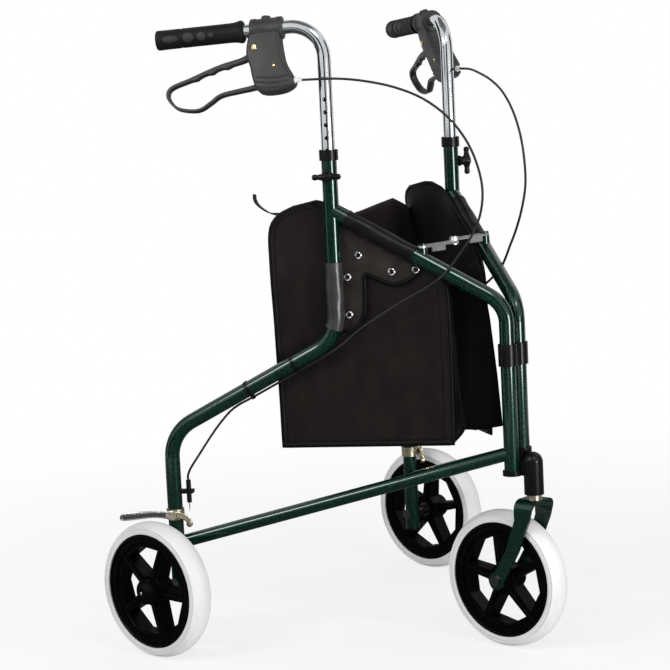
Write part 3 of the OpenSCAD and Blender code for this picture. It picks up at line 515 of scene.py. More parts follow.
# Raised rings of the rim as distance from its middle, radius, half thickness and steps
RIM_RINGS = [(15.4, 80.5, 1.5, 96), (WEB_FACE + 0.2, 69, 1.0, 96), (WEB_FACE + 0.2, 20.5, 1.5, 64)]
TIP_PROFILE = [(0.1, -1), (2.6, -1), (2.6, 0.3), (1.9, 1.0), (0.1, 1.2)]
WHEELS = {
    "front": ("front_wheel", mm(0, FRONT_AXLE_Y, AXLE_Z), 28, 0),
    "right": ("right_wheel", mm(-REAR_X, REAR_Y, AXLE_Z), 57.5, -1),
    "left": ("left_wheel", mm(REAR_X, REAR_Y, AXLE_Z), 43, 1)}


def tyre_profile():
    """Half-round tread with one fine groove a side, and a ridge on each flank."""
    half = []
    for k in range(TREAD_STEPS + 1):
        x = TYRE_HALF * k / TREAD_STEPS
        r = WHEEL_R - CROWN_R + math.sqrt(CROWN_R**2 - x**2)
        half.append((r - GROOVE_DEEP * max(0.0, 1 - abs(x - GROOVE_X) / GROOVE_HALF), x))
    half += [(r, TYRE_HALF - sunk) for r, sunk in FLANK]
    return [(r, -x) for r, x in reversed(half)] + half[1:]


def wheel_point(centre, x, radius, a):
    return centre + Vector((x, radius * math.cos(a), radius * math.sin(a))) * MM


def wheel_ring(centre, x, radius, thick, sides):
    return tube([wheel_point(centre, x, radius, a) for a in turns(sides)], thick, 8, closed=True)


for name, (body, centre, turn, outer) in WHEELS.items():
    rings = [[wheel_point(centre, x, r, a) for r, x in tyre_profile()] for a in turns(TYRE_TURNS)]
    tyre = piece(f"{name}_tyre_tread", *bridge(rings, closed_path=True), TYRE, "tyre_white", body)
    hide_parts(f"{name}_tyre")
    parts = []
    for face in (-1, 1):
        for spoke in turns(SPOKES):
            a = math.radians(turn) + spoke
            way = Vector((0, math.sin(a), -math.cos(a)))
            path = [centre + (way * r + Vector((face * (WEB_FACE + h), 0, 0))) * MM for r, h in RIB_LINE]
            across = Vector((face, 0, 0)).cross(way)
            parts.append(sweep(path, lambda t: round_box(lerp(*RIB_WIDE, t), RIB_TALL, RIB_ROUND, 3), across))
        parts += [wheel_ring(centre, face * x, radius, thick, sides) for x, radius, thick, sides in RIM_RINGS]
    piece(f"{name}_rim_ribs", *joined(*parts), RIM, "rim_black", body)
    if outer:
        tip_at = centre + Vector((outer * HUB_TIP, 0, 0)) * MM
        tip = lathe(TIP_PROFILE, tip_at, (outer, 0, 0), 24)
        piece(f"{name}_axle_tip", *tip, STEEL, "zinc_steel", body)

# Handles: grips, brake housings, levers and knobs
GRIP_LEN = 128
GRIP_END = 3.4
GRIP_STEP = 3.0
GRIP_TURNS = 64
GRIP_END_R = 9
GRIP_PROFILE = [
    (0.2, 12.2), (1.2, 14.4), (3.6, 16.3), (6, 16), (10, 15), (15, 14.2), (21, 13.9), (60, 13.85),
    (90.5, 13.9), (91.5, 13.3), (93, 13.3), (94, 13.9), (116, 13.95), (124, 14.2), (127, 14), (128.2, 13.1)]
PAD_SIDES = 28
GRIP_PADS = [(47, 4, 4), (61, 6.5, 6.5), (80, 8, 7.5), (106, 11.5, 5.5)]
PIVOT = (341.1, 869.5)
HOUSING_LINE = [
    (302, 893), (299.5, 871), (294.5, 850), (286, 834.5), (279.5, 823), (280.5, 815.5), (290, 808.5),
    (304, 805), (322, 804.3), (334, 809.5), (340, 825), (344, 842), (349.6, 860), (349, 876), (346, 892)]
# Rounded edges of the housing as distance outboard and inset
HOUSING_EDGES = [
    (-13, 5.2), (-12.6, 2.9), (-11.4, 1.1), (-9.6, 0.2), (0, 0),
    (9.6, 0.2), (11.4, 1.1), (12.6, 2.9), (13, 5.2)]
CLAMP_START = 56
CLAMP_PROFILE = [
    (10, 0), (15, 0), (16.2, 1.2), (16.2, 8), (15.4, 9), (15.4, 37), (16.2, 38), (16.2, 45), (15, 46.2),
    (10, 46.2)]
BOSS_AT = (324, 909)
BOSS_PROFILE = [(0.1, 0), (7, 0), (7, 6), (6, 8.2), (3.4, 8.9), (3, 8), (0.1, 8)]
BEAD_LINE = [(304.5, 889), (302, 871), (297, 850), (288.5, 834.5), (283, 824.5)]
BEAD_R = 1.9
TRIM_N = 12.4
RIDGE_R = 1.5
RIDGE_N_SHARE = 1.03
RIDGE_HEIGHTS = (811.5, 818.5, 825.5)
RIDGE_LINE = [(289, 1.5), (302, -0.6), (319, -0.9), (334, 0.8)]
SCREW_N = 12.7
SCREWS = [((PIVOT[0] - 3, PIVOT[1]), 4.0), ((309, 842), 2.2)]
FERRULE_AT = (281, 820.7, 7)
FERRULE_PROFILE = [
    (0.1, 0), (4.2, 0), (4.2, 3), (3.5, 3.6), (3.5, 7), (3.0, 7.6), (2.7, 11.6), (0.1, 11.6)]
LEVER_LINE = [
    (338, 868), (346.5, 859.5), (358.5, 853.5), (384.7, 846.7), (407.4, 838.8), (431.9, 829),
    (457.2, 819.5), (464.3, 810), (460.8, 799.3), (448.8, 788.3), (429.5, 784.2), (415, 785.8),
    (400.9, 794.8), (386.6, 804.6), (361.6, 809.9), (341.5, 813.6), (332, 818), (331, 842)]
LEVER_WIDE = [9, 8, 7, 6.4, 5.6, 4.9, 4.6, 4.4, 4.2, 3.9, 3.7, 3.8, 4.2, 4.7, 5.4, 6, 7, 8]
FINGER_BUMPS = [(379, 2.2), (401, 2.2), (424, 2.0)]
BUMP_HALF = 7.5
# The upper bar's bumps lie behind and above this place
BUMPS_FROM = (368, 822)
LEVER_W = 11
LEVER_HUB = [(3.1, -8), (6.8, -8), (7.8, -7), (7.8, 7), (6.8, 8), (3.1, 8)]
KNOB_Z = 689
KNOB_PROFILE = [
    (0.1, 9.9), (3, 9.9), (3, 11.4), (7.6, 11.4), (8.2, 13), (6.6, 17), (6.8, 20), (8, 24), (7.6, 28),
    (5, 30.4), (0.1, 30.9)]
WING_N = 25
# Wing of the knob as distance from the knob's axis and radius
WING_LINE = [(2, 6.2), (7, 4.9), (12, 3.6), (16.5, 4.4), (19.6, 3.6), (20.9, 0.8)]
# Soft pad of the grip as share of its outline and height
PAD_SECTION = [(1.0, -0.4), (0.98, 0.25), (0.85, 0.6), (0.55, 0.8), (0.05, 0.85)]


def handle_axis(side):
    return (at(side, *HANDLE_END) - at(side, *HANDLE_CORNER)).normalized()


def grip_point(side, d, a, r):
    """A point of the grip: distance from its front end, angle round it from outboard, and radius."""
    axis = handle_axis(side)
    out = outward(side).normalized()
    start = at(side, *HANDLE_CORNER) + axis * (HANDLE_LEN + GRIP_END - GRIP_LEN) * MM
    return start + (axis * d + (out * math.cos(a) + axis.cross(out) * math.sin(a)) * r) * MM


def grip_mesh(side):
    """Grip with a trumpet-shaped front flange, a groove near its rear end, and a flat end."""
    even = np.arange(0.2, GRIP_LEN + 0.4, GRIP_STEP).round(2).tolist()
    stations = sorted({*even, *(p[0] for p in GRIP_PROFILE)})
    angles = turns(GRIP_TURNS)
    rings = [[grip_point(side, d, a, from_table(GRIP_PROFILE, d)) for a in angles] for d in stations]
    rings.append([grip_point(side, GRIP_LEN + 0.5, a, GRIP_END_R) for a in angles])
    return bridge(rings)


def grip_pads(side):
    """Soft oval pads let into both sides of the grip."""
    pads = []
    for middle in (0, math.pi):
        for d, half_long, half_wide in GRIP_PADS:
            rings = []
            for share, high in PAD_SECTION:
                ring = []
                for turn in turns(PAD_SIDES):
                    place = d + half_long * share * math.cos(turn)
                    r = from_table(GRIP_PROFILE, place)
                    a = middle + half_wide * share * math.sin(turn) / r
                    ring.append(grip_point(side, place, a, r + high))
                rings.append(ring)
            pads.append(bridge(rings))
    return joined(*pads)


for name, side in SIDES.items():
    body = f"{name}_handle"
    grip = piece(f"{name}_rubber_grip", *grip_mesh(side), GRIP, "grip_rubber", body, sharp=60)
    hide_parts(f"{name}_grip")
    piece(f"{name}_grip_pads", *grip_pads(side), PAD, "grip_rubber", body, sharp=60)

    # Brake housing: rounded moulded case over the handle tube, with a front bead, ridges and a screw boss
    axis = handle_axis(side)
    line = through(HOUSING_LINE, 5)
    rings = []
    for n, inset in HOUSING_EDGES:
        rings.append([brake_at(side, *(p + left_of(line, i) * inset), n) for i, p in enumerate(line)])
    case = bridge(rings)
    clamp = lathe(CLAMP_PROFILE, at(side, *HANDLE_CORNER) + axis * CLAMP_START * MM, axis, 48)
    top = brake_at(side, 0, 1) - brake_at(side, 0, 0)
    boss = lathe(BOSS_PROFILE, brake_at(side, *BOSS_AT), top, 28)
    trims = []
    for n in (-TRIM_N, TRIM_N):
        bead = through(BEAD_LINE, 4)
        trims.append(sweep([brake_at(side, *p, n) for p in bead], lambda t: circle(BEAD_R, 10), (0, 0, 1)))
        for z in RIDGE_HEIGHTS:
            crest = through([(u, z + rise) for u, rise in RIDGE_LINE], 4)
            ridge = [brake_at(side, *p, n * RIDGE_N_SHARE) for p in crest]
            trims.append(sweep(ridge, lambda t: circle(RIDGE_R, 8), (0, 0, 1)))
    housing_mesh = joined(case, clamp, boss, *trims)
    housing = piece(f"{name}_brake_case", *housing_mesh, GREY, "brake_plastic", body, sharp=48)
    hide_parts(f"{name}_brake_housing")
    screws = []
    for n in (-SCREW_N, SCREW_N):
        out = brake_outward(side) * (1 if n > 0 else -1)
        for (u, z), r in SCREWS:
            head = [(0.1, 0), (r, 0), (r, 0.9), (r * 0.8, 1.5), (r * 0.4, 1.3), (0.1, 1.1)]
            screws.append(lathe(head, brake_at(side, u, z, n), out, 20))
    piece(f"{name}_brake_screws", *joined(*screws), BRASS, "zinc_steel", body)
    exit_way = brake_at(side, -1, 0) - brake_at(side, 0, 0)
    ferrule = lathe(FERRULE_PROFILE, brake_at(side, *FERRULE_AT), exit_way, 20)
    piece(f"{name}_cable_ferrule", *ferrule, PALE, "zinc_steel", body)

    # Loop lever with bumps for the fingers under its upper bar
    line = through([(*p, w) for p, w in zip(LEVER_LINE, LEVER_WIDE)], 6, closed=True)
    section = round_box(1, LEVER_W, 0.45, 4)
    rings = []
    for i, p in enumerate(line):
        away = left_of(line, i, closed=True)
        bump = 0.0
        if p.x > BUMPS_FROM[0] and p.y > BUMPS_FROM[1]:
            bump = sum(high * smooth_step(1 - abs(p.x - u) / BUMP_HALF) for u, high in FINGER_BUMPS)
        ring = []
        for a, b in section:
            offset = a * p.z - (bump if a < 0 else 0)
            ring.append(brake_at(side, p.x + away.x * offset, p.y + away.y * offset, b))
        rings.append(ring)
    hub = lathe(LEVER_HUB, brake_at(side, *PIVOT), brake_outward(side), 32)
    loop = joined(bridge(rings, closed_path=True), hub)
    lever = piece(f"{name}_loop_lever", *loop, LEVER, "brake_plastic", f"{name}_lever", sharp=50)
    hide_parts(f"{name}_brake_lever")

    # Wing knob on the upright: level on the right, upright on the left
    knob_at = at(side, UPRIGHT_U, KNOB_Z)
    out, back = outward(side), rearward(side)
    turn = 0.0 if side < 0 else math.pi / 2
    wing = (back * math.cos(turn) + UP * math.sin(turn)).normalized()
    parts = [lathe(KNOB_PROFILE, knob_at, out, 28)]
    for direction in (-1, 1):
        path = [knob_at + out * WING_N + wing * direction * d * MM for d, _ in WING_LINE]
        parts.append(sweep(path, lambda t: circle(WING_LINE[round(t * (len(WING_LINE) - 1))][1], 14), out))
    knob = piece(f"{name}_wing", *joined(*parts), BLACK, "black_plastic", f"{name}_knob")
    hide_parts(f"{name}_wing_knob")

# Brake cables, from the ferrule in a free loop to the diagonal tube and down to the stop on the leg
CABLE_R = 1.75
CABLE_ROUTE = [
    (268.9, 826.2, 30.3), (259.9, 826.2, 30.3), (242.9, 826.2, 29.3), (214.9, 825.2, 27.3),
    (179.9, 820.2, 26.3), (139.9, 810.2, 28.5), (100.5, 793, 30.8), (66.5, 766, 32.1), (41.9, 732.2, 32.3),
    (27.9, 696.2, 31.3), (22.9, 661.2, 29.3), (28.9, 626.2, 24.3), (43.9, 596.2, 20.3), (59.9, 574.2, 17.3),
    (76.9, 553.2, 15.3), (95.9, 536.2, 14.3), (121.9, 521.2, 10.3), (149.9, 506.2, 6.3), (179.9, 488.2, 4.3),
    (209.9, 469.2, 3.3), (235.9, 448.2, 2.3), (257.9, 434.2, 1.3), (281.1, 421.5, 0), (325.5, 398, 0),
    (368.2, 375.5, 0), (400.2, 358.6, 0), (421, 338, 0), (439, 315, 0), (456, 291, 0), (470, 271, 0),
    (475, 260, 0), (475, 253, 0)]
for name, side in SIDES.items():
    path = [at(side, *p) for p in through(CABLE_ROUTE, 4)]
    cable = piece(f"{name}_brake_cable", *tube(path, CABLE_R, 10), SHEATH, "cable_black")
    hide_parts(f"{name}_cable")
    at(side, UPRIGHT_U, 560)
    at(side, UPRIGHT_U, 815)
    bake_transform(cable)
    length = sum((b - a).length for a, b in zip(path, path[1:]))
    tuple(path[0])
    [tuple(p) for p in path]

# Rear brakes: a formed shoe plate over the tyre, the arm in front of the leg and the inner wire that pulls it
SHOE_N = 14.6
SHOE_T = 2.6
SHOE_LEAST = 2.8
SHOE_ROUND = 1.1
ARM_T = 3.4
ARM_ROUND = 1.3
WIRE_R = 0.9
# Shoe plate as place behind the post, height, width and lean in degrees
SHOE_LINE = [
    (486, 203.4, 11.5, 0), (497, 203.5, 12.5, 0), (508, 204, 11, 2), (522, 205, 10, 8),
    (536, 204.8, 11.5, 16), (552, 203.4, 13.5, 24), (566, 201.8, 14, 28), (573, 200.8, 12.5, 29),
    (576.4, 200.3, 9, 29), (577.6, 200.1, 4, 29)]
# Dark face of the shoe as distance outboard and share of the plate's width
FACE_SHARES = [(1.1, -0.3), (1.45, -0.28), (1.45, 0.28), (1.1, 0.3)]
ARM_LINE = [
    (497, 203.5, 12), (489, 203.4, 11), (481.5, 201.6, 9), (475.5, 197.5, 8), (472.5, 192.5, 7.5),
    (472, 189, 6.5)]
EYE_AT = (473.4, 190.5, SHOE_N - 2)
EYE_PROFILE = [(2.4, -2.4), (4.2, -2.4), (4.6, -2.0), (4.6, 2.0), (4.2, 2.4), (2.4, 2.4)]
WIRE_LINE = [(475, 222, 0), (475, 212, 1), (474.4, 201, 6), (473.6, 192, SHOE_N - 3)]


def shoe_ring(side, u, z, tilt, section):
    """A cross-section of the shoe plate, leaning by an angle in degrees."""
    c, s = math.cos(math.radians(tilt)), math.sin(math.radians(tilt))
    return [at(side, u, z + b * c - a * s, SHOE_N + b * s + a * c) for a, b in section]


for name, side in SIDES.items():
    body = f"{name}_shoe"
    rings = [shoe_ring(side, u, z, tilt, round_box(SHOE_T, max(tall, SHOE_LEAST), SHOE_ROUND, 3))
             for u, z, tall, tilt in through(SHOE_LINE, 4)]
    shoe = piece(f"{name}_shoe_plate", *bridge(rings), STEEL, "zinc_steel", body, sharp=50)
    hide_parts(f"{name}_brake_shoe")
    rings = [shoe_ring(side, u, z, tilt, [(a, share * tall) for a, share in FACE_SHARES])
             for u, z, tall, tilt in through(SHOE_LINE[2:8], 4)]
    piece(f"{name}_shoe_face", *bridge(rings), DARK_STEEL, "zinc_steel", body, sharp=50)
    arm = through(ARM_LINE, 4)
    rings = []
    for i, p in enumerate(arm):
        away = left_of(arm, i)
        section = round_box(ARM_T, p.z, ARM_ROUND, 3)
        rings.append([at(side, p.x + away.x * b, p.y + away.y * b, SHOE_N + a) for a, b in section])
    eye = lathe(EYE_PROFILE, at(side, *EYE_AT), outward(side), 24)
    piece(f"{name}_shoe_arm", *joined(bridge(rings), eye), ZINC, "zinc_steel", body, sharp=50)
    wire = through([at(side, *p) for p in WIRE_LINE], 6)
    piece(f"{name}_inner_wire", *tube(wire, WIRE_R, 8), STEEL, "zinc_steel", body)

# Bag: stiffened side panels with bound edges, wraps round the tubes and a studded flap outside each panel
BAG_BOTTOM = 297
BAG_FRONT = 82
BAG_LEN = 258
BAG_TALL = 356
PANEL_OUT = -12.4
PANEL_T = 2.4
PANEL_ROWS, PANEL_COLS = 48, 36
PANEL_BELLY = 3.0
PANEL_WAVE = 0.8
TAPE_INSET = 2.6
TAPE_HALF = (2.0, 3.6)
SEWN_INSET = 4.6
SEWN_OUT = 0.75
SEAM_INSET = (8.5, 14)
SEAM_SUNK = 0.1
SEAM_R = 0.8
FRONT_EDGE = [(83, 297), (81.5, 400), (81.5, 480), (83, 515), (90, 545), (112, 572), (160, 602), (208, 630)]
REAR_EDGE = [(334, 297), (335, 380), (337, 476), (339.6, 570)]
PANEL_EDGES = {
    "right": (
        FRONT_EDGE + [(240, 648), (266, 653.5)],
        REAR_EDGE + [(339.8, 604), (334.5, 624), (320, 638), (296, 648), (268, 653.5)]),
    "left": (
        FRONT_EDGE + [(238, 648), (268, 658.5)],
        REAR_EDGE + [(340, 612), (336.5, 634), (326, 648), (304, 656), (278, 659)])}
# How far each panel's rear top corner leans in, and where in u and z the lean starts and how far it runs
CORNER_LEAN = {-1: 5, 1: 30}
LEAN_FROM = (225, 520)
LEAN_RUN = (115, 125)
SLEEVE_R = 12.5
SLEEVE_SIDES = 40
SLEEVE_LIP = 0.6
LIP_SHARE = 1 / 14
# Raised seam of a sleeve as height, angle from outboard and half width, both in radians
SLEEVE_SEAM = (0.8, 1.1, 0.22)
KNEE_ANGLES = (0.13, 0.26, 0.38)
UPRIGHT_WRAP_Z = (566, 494)
FRONT_WRAP_U = (222, 128)
FLAP_LINE = [
    (236, 560), (238, 500), (237, 470), (226, 464.5), (212, 472), (203.5, 494), (202, 524), (200, 546),
    (186.5, 541), (166, 532), (146, 533), (131, 541), (122, 552), (128, 565), (160, 585), (196, 606),
    (232, 624), (236, 600)]
FLAP_FREE_EDGE = FLAP_LINE[2:14]
FLAP_CENTRE = (205, 560)
FLAP_EDGE_N, FLAP_FACE_N, FLAP_BACK_N = -9.6, -9.0, -11.4
FLAP_RIM_R = 3.0
FLAP_SEWN_SHARE = 0.9
# Flap's edge as share of its outline and distance outboard
FLAP_SECTION = [(1.0, FLAP_EDGE_N), (0.97, FLAP_FACE_N), (0.97, FLAP_BACK_N), (1.0, FLAP_BACK_N)]
STUD_N = -9.3
STUD_PROFILE = [
    (2.3, 0.2), (6.1, 0), (6.4, 0.9), (5.7, 2.2), (4.6, 2.8), (3.4, 2.5), (2.6, 1.4), (2.3, 0.6)]
STUD_EYE_PROFILE = [(0.1, 0.1), (2.7, 0.1), (2.7, 0.8), (1.6, 1.0), (0.1, 1.1)]
STUDS = [(209, 574), (162, 549), (127, 551), (226, 543), (226, 489)]


def edge_at(line, z):
    """Distance behind the post of an edge line at a height."""
    for (u0, z0), (u1, z1) in zip(line, line[1:]):
        if z <= z1:
            return lerp(u0, u1, (z - z0) / (z1 - z0))
    return line[-1][0]


def panel_n(side, u, z):
    """Outboard place of a panel's outer face: a shallow belly, and a rear top corner that leans in."""
    s = (u - BAG_FRONT) / BAG_LEN
    t = (z - BAG_BOTTOM) / BAG_TALL
    belly = math.sin(math.pi * min(max(s, 0), 1)) * math.sin(math.pi * min(max(t, 0), 1))
    n = PANEL_OUT - PANEL_BELLY * belly - PANEL_WAVE * math.sin(u * 0.045 + z * 0.02) * belly
    n -= 0.6 * math.sin(z * 0.055) * smooth_step((u - 280) / 55)
    lean = smooth_step((u - LEAN_FROM[0]) / LEAN_RUN[0]) * smooth_step((z - LEAN_FROM[1]) / LEAN_RUN[1])
    return n - CORNER_LEAN[side] * lean


def sleeve(path, phase, side):
    """Open sleeve sewn round a tube, a little uneven, with turned ends and a raised seam."""
    seam_high, seam_at, seam_half = SLEEVE_SEAM

    def radius(a, t):
        lip = SLEEVE_LIP * (smooth_step(1 - t / LIP_SHARE) + smooth_step(1 - (1 - t) / LIP_SHARE))
        seam = seam_high * smooth_step(1 - abs(a - seam_at) / seam_half)
        return (SLEEVE_R + lip + seam + 0.25 * math.sin(3 * a + 9 * t + phase)
                + 0.15 * math.sin(17 * t + 2 * a))

    angles = np.linspace(0, 2 * math.pi, SLEEVE_SIDES, endpoint=False)

    def outer_ring(t):
        return [(radius(a, t) * math.cos(a), radius(a, t) * math.sin(a)) for a in angles]

    outer = sweep(path, outer_ring, outward(side), caps=False)
    inner = sweep(path, lambda t: circle(TUBE_R + 0.4, SLEEVE_SIDES), outward(side), caps=False)
    shift, last = len(outer[0]), (len(path) - 1) * SLEEVE_SIDES
    ends = []
    for e in (0, last):
        for k in range(SLEEVE_SIDES):
            m = (k + 1) % SLEEVE_SIDES
            ends.append((e + k, e + m, shift + e + m, shift + e + k))
    return outer[0] + inner[0], outer[1] + [tuple(i + shift for i in f)[::-1] for f in inner[1]] + ends


for name, side in SIDES.items():
    body = f"{name}_frame"
    front_edge, rear_edge = ([tuple(p) for p in through(line, 6)] for line in PANEL_EDGES[name])
    layers = []
    for depth in (0.0, PANEL_T):
        rows = []
        for j in range(PANEL_ROWS + 1):
            z = lerp(BAG_BOTTOM, front_edge[-1][1], j / PANEL_ROWS)
            front_u, rear_u = edge_at(front_edge, z), edge_at(rear_edge, z)
            rows.append([(u, z, panel_n(side, u, z) - depth)
                         for u in (lerp(front_u, rear_u, i / PANEL_COLS) for i in range(PANEL_COLS + 1))])
        layers.append(rows)
    outer, quads = bridge(layers[0], caps=False, closed_ring=False)
    inner = [p for row in layers[1] for p in row]
    border = [(0, i) for i in range(PANEL_COLS)] + [(j, PANEL_COLS) for j in range(PANEL_ROWS)]
    border += [(PANEL_ROWS, i) for i in range(PANEL_COLS, 0, -1)] + [(j, 0) for j in range(PANEL_ROWS, 0, -1)]
    flat = [j * (PANEL_COLS + 1) + i for j, i in border]
    shift = len(outer)
    walls = [(a, b, b + shift, a + shift) for a, b in zip(flat, flat[1:] + flat[:1])]
    faces = quads + [tuple(i + shift for i in q)[::-1] for q in quads] + walls
    points = [at(side, *p) for p in outer + inner]
    panel = piece(f"{name}_bag_side", points, faces, CLOTH[name], "bag_vinyl", body, sharp=60)
    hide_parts(f"{name}_bag_panel")

    # Tape folded over the panel's edge with its stitches, and a sunk seam inside it, drawn as a dark cord
    # whose colour is painted shade in the seam's groove
    outline = [Vector(outer[k][:2]) for k in flat]
    tape, sewn, seam = [], [], []
    for i, p in enumerate(outline):
        inward = left_of(outline, i, closed=True)
        wide = lerp(*SEAM_INSET, smooth_step((100 - p.x) / 15))
        for line, inset, depth in (
                (tape, TAPE_INSET, PANEL_T / 2), (sewn, SEWN_INSET, -SEWN_OUT), (seam, wide, SEAM_SUNK)):
            q = p + inward * inset
            line.append(at(side, q.x, q.y, panel_n(side, q.x, q.y) - depth))
    oval = [(a * TAPE_HALF[0], b * TAPE_HALF[1]) for a, b in circle(1, 14)]
    bound = sweep(tape, lambda t: oval, outward(side), closed=True)
    binding = piece(f"{name}_bag_binding", *bound, BINDING, "bag_vinyl", body, sharp=80)
    thread = piece(f"{name}_bag_stitches", *stitches(sewn), THREAD, "bag_vinyl", body)
    # The seam's dark colour is painted shade in its groove
    sunk = tube(seam, SEAM_R, 8, closed=True)
    groove = piece(f"{name}_bag_seam_painted_shade", *sunk, BINDING, "bag_vinyl", body, sharp=80)
    flat_area([tuple(p) for p in outline])

    # Wraps that hold the panel to the upright and the front tube
    knee = [(KNEE_CENTRE[0] - KNEE_R * math.cos(a), KNEE_CENTRE[1] - KNEE_R * math.sin(a))
            for a in KNEE_ANGLES]
    upright = [at(side, UPRIGHT_U, z) for z in np.linspace(*UPRIGHT_WRAP_Z, 22)]
    upright += [at(side, *p) for p in knee]
    front = [at(side, u, FRONT_CORNER_Z + FRONT_RISE * u) for u in np.linspace(*FRONT_WRAP_U, 30)]
    # The upright wrap takes the lighter copy of the vinyl, which carries a painted highlight
    for part, path, phase, length, tube_name, material in (
            ("upright", upright, 0.0, 0.095, "main_tube", UPRIGHT_WRAP),
            ("front", front, 2.1, 0.109, "front_tube", FRONT_WRAP)):
        wrap = piece(f"{name}_{part}_wrap", *sleeve(path, phase, side), material, "bag_vinyl", body, sharp=60)

    # Studded flap outside the panel, its free edge bound with a thick rounded rim
    ring = through(FLAP_LINE, 4, closed=True)
    centre = Vector(FLAP_CENTRE)
    rows = [[at(side, *(centre + (p - centre) * share), n) for p in ring] for share, n in FLAP_SECTION]
    flap = piece(f"{name}_bag_flap_tone_and_sheen", *bridge(rows), FLAP, "bag_vinyl", body, sharp=60)
    rim_line = [at(side, *p, FLAP_EDGE_N) for p in through(FLAP_FREE_EDGE, 5)]
    rim = piece(f"{name}_flap_binding", *tube(rim_line, FLAP_RIM_R, 12), BINDING, "bag_vinyl", body, sharp=80)
    inside = through([tuple(centre + (Vector(p) - centre) * FLAP_SEWN_SHARE) for p in FLAP_FREE_EDGE], 5)
    sewn_line = [at(side, *p, FLAP_FACE_N) for p in inside]
    flap_thread = piece(f"{name}_flap_stitches", *stitches(sewn_line), THREAD, "bag_vinyl", body)
    flat_area([tuple(p) for p in ring])
    stud_places = [at(side, u, z, STUD_N) for u, z in STUDS]
    cups = joined(*[lathe(STUD_PROFILE, p, outward(side), 28) for p in stud_places])
    stud = piece(f"{name}_press_studs", *cups, STEEL, "zinc_steel", body)
    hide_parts(f"{name}_studs")
    eyes = joined(*[lathe(STUD_EYE_PROFILE, p, outward(side), 16) for p in stud_places])
    piece(f"{name}_stud_eyes", *eyes, BLACK, "black_plastic", body)

# Gusset: one strip of cloth for the folded front wall, the base and the rear wall, crumpling in a fold. Its
# front wall and base carry painted shade (a far darker copy of the cloth), and its rear wall painted sheen (a
# lighter copy)
GUSSET_OUT = -15.4
RIDGE_Y = [(297, 23), (323, 24), (395, 30), (474, 39), (545, 51), (566, 61)]
RECESS_Y = [(297, 72), (319, 75), (464, 93), (545, 93)]
FRONT_LIFT = [(0, 25), (0.2, 22), (0.38, 18), (0.46, 22), (0.55, 18), (0.8, 8), (1, 1)]
FRONT_TOP = [(0, 566), (0.3, 548), (0.55, 532), (1, 528)]
REAR_TOP = [(0, 620), (28, 624), (63, 630), (101, 636), (140, 617), (175, 604)]
RECESS_SHARE = 0.55
RECESS_X = (24, 21)
REAR_WALL_HALF = 172
REAR_WALL_Y = 299
REAR_BELLY = 9
REAR_CREASE = 1.5
FRONT_CREASE = 2.2
BASE_REAR_U = 333
GUSSET_T = 1.4


def front_plan(z, t):
    """Plan of half the front wall at a height: t runs from the middle ridge out to the panel's front edge."""
    recess = (lerp(*RECESS_X, smooth_step((z - 300) / 240)), from_table(RECESS_Y, z))
    if t < RECESS_SHARE:
        k = t / RECESS_SHARE
        share = 0.35 * k + 0.65 * smooth_step(k)
        return lerp(0.0, recess[0], k), lerp(from_table(RIDGE_Y, z), recess[1], share)
    edge = at(1, BAG_FRONT + 2, z, GUSSET_OUT) / MM
    k = (t - RECESS_SHARE) / (1 - RECESS_SHARE)
    return lerp(recess[0], edge.x, k), lerp(recess[1], edge.y + ORIGIN_Y, smooth_step(k))


def gusset_row(place, half):
    """A row of points across the bag from place(share, side), the middle point taken once."""
    return [place(i / half, -1) for i in range(half, 0, -1)] + [place(i / half, 1) for i in range(half + 1)]


def front_point(t, side, up):
    z = lerp(BAG_BOTTOM + from_table(FRONT_LIFT, t), from_table(FRONT_TOP, t), up)
    x, y = front_plan(z, t)
    crease = FRONT_CREASE * math.sin(z * 0.03 + 6 * t) * math.sin(math.pi * t) * math.sin(math.pi * up)
    return mm(side * x, y + crease, z)


def base_z(t, back):
    """Height of the base, which tents up between the panels."""
    return BAG_BOTTOM + 1 + from_table(FRONT_LIFT, t) * lerp(1, 0.7, smooth_step(back))


def rear_point(t, side, up):
    """The rear wall bellies out a little, and its sides are sewn to the panels' rear edges."""
    x = REAR_WALL_HALF * t
    z = lerp(base_z(t, 1), from_table(REAR_TOP, x), up)
    belly = math.sin(math.pi * up) * math.cos(math.pi / 2 * t)
    crease = REAR_CREASE * math.sin(side * x * 0.12 + z * 0.03) * belly
    y = REAR_WALL_Y + REAR_BELLY * belly - 4 * smooth_step((z - 540) / 80) + crease
    u = edge_at(PANEL_EDGES["left" if side > 0 else "right"][1], z) - 1.5
    sewn = at(side, u, z, panel_n(side, u, z) - PANEL_T - 0.6)
    return mm(side * x, y, z).lerp(sewn, smooth_step((t - 0.6) / 0.4))


def base_point(t, side, back):
    edge = at(1, lerp(BAG_FRONT + 2, BASE_REAR_U, back), BAG_BOTTOM, GUSSET_OUT) / MM
    x, y = front_plan(BAG_BOTTOM + from_table(FRONT_LIFT, t), t)
    spread = smooth_step(back * 3)
    p = mm(side * lerp(x, edge.x * t, spread), lerp(y, edge.y + ORIGIN_Y, spread), base_z(t, back))
    return p.lerp(rear_point(t, side, 0), smooth_step((back - 0.8) / 0.2))


walls = []
for make, rows, half in ((front_point, 32, 24), (base_point, 24, 16), (rear_point, 30, 24)):
    grid = [gusset_row(lambda t, side, j=j: make(t, side, j / rows), half) for j in range(rows + 1)]
    walls.append(bridge(grid, caps=False, closed_ring=False))
gusset = piece("bag_gusset", *joined(*walls), GUSSET, "bag_vinyl", "head", sharp=60)
# The rear wall's faces take the lighter copy of the cloth (painted sheen); the rest keeps the darker copy
# (painted shade)
gusset.data.materials.append(LIT_REAR_CLOTH)
for face in gusset.data.polygons[-len(walls[2][1]):]:
    face.material_index = 1
thick = gusset.modifiers.new("cloth_thickness", "SOLIDIFY")
thick.thickness = GUSSET_T * MM
thick.offset = 0
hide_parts("bag_gussets")
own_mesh(gusset)

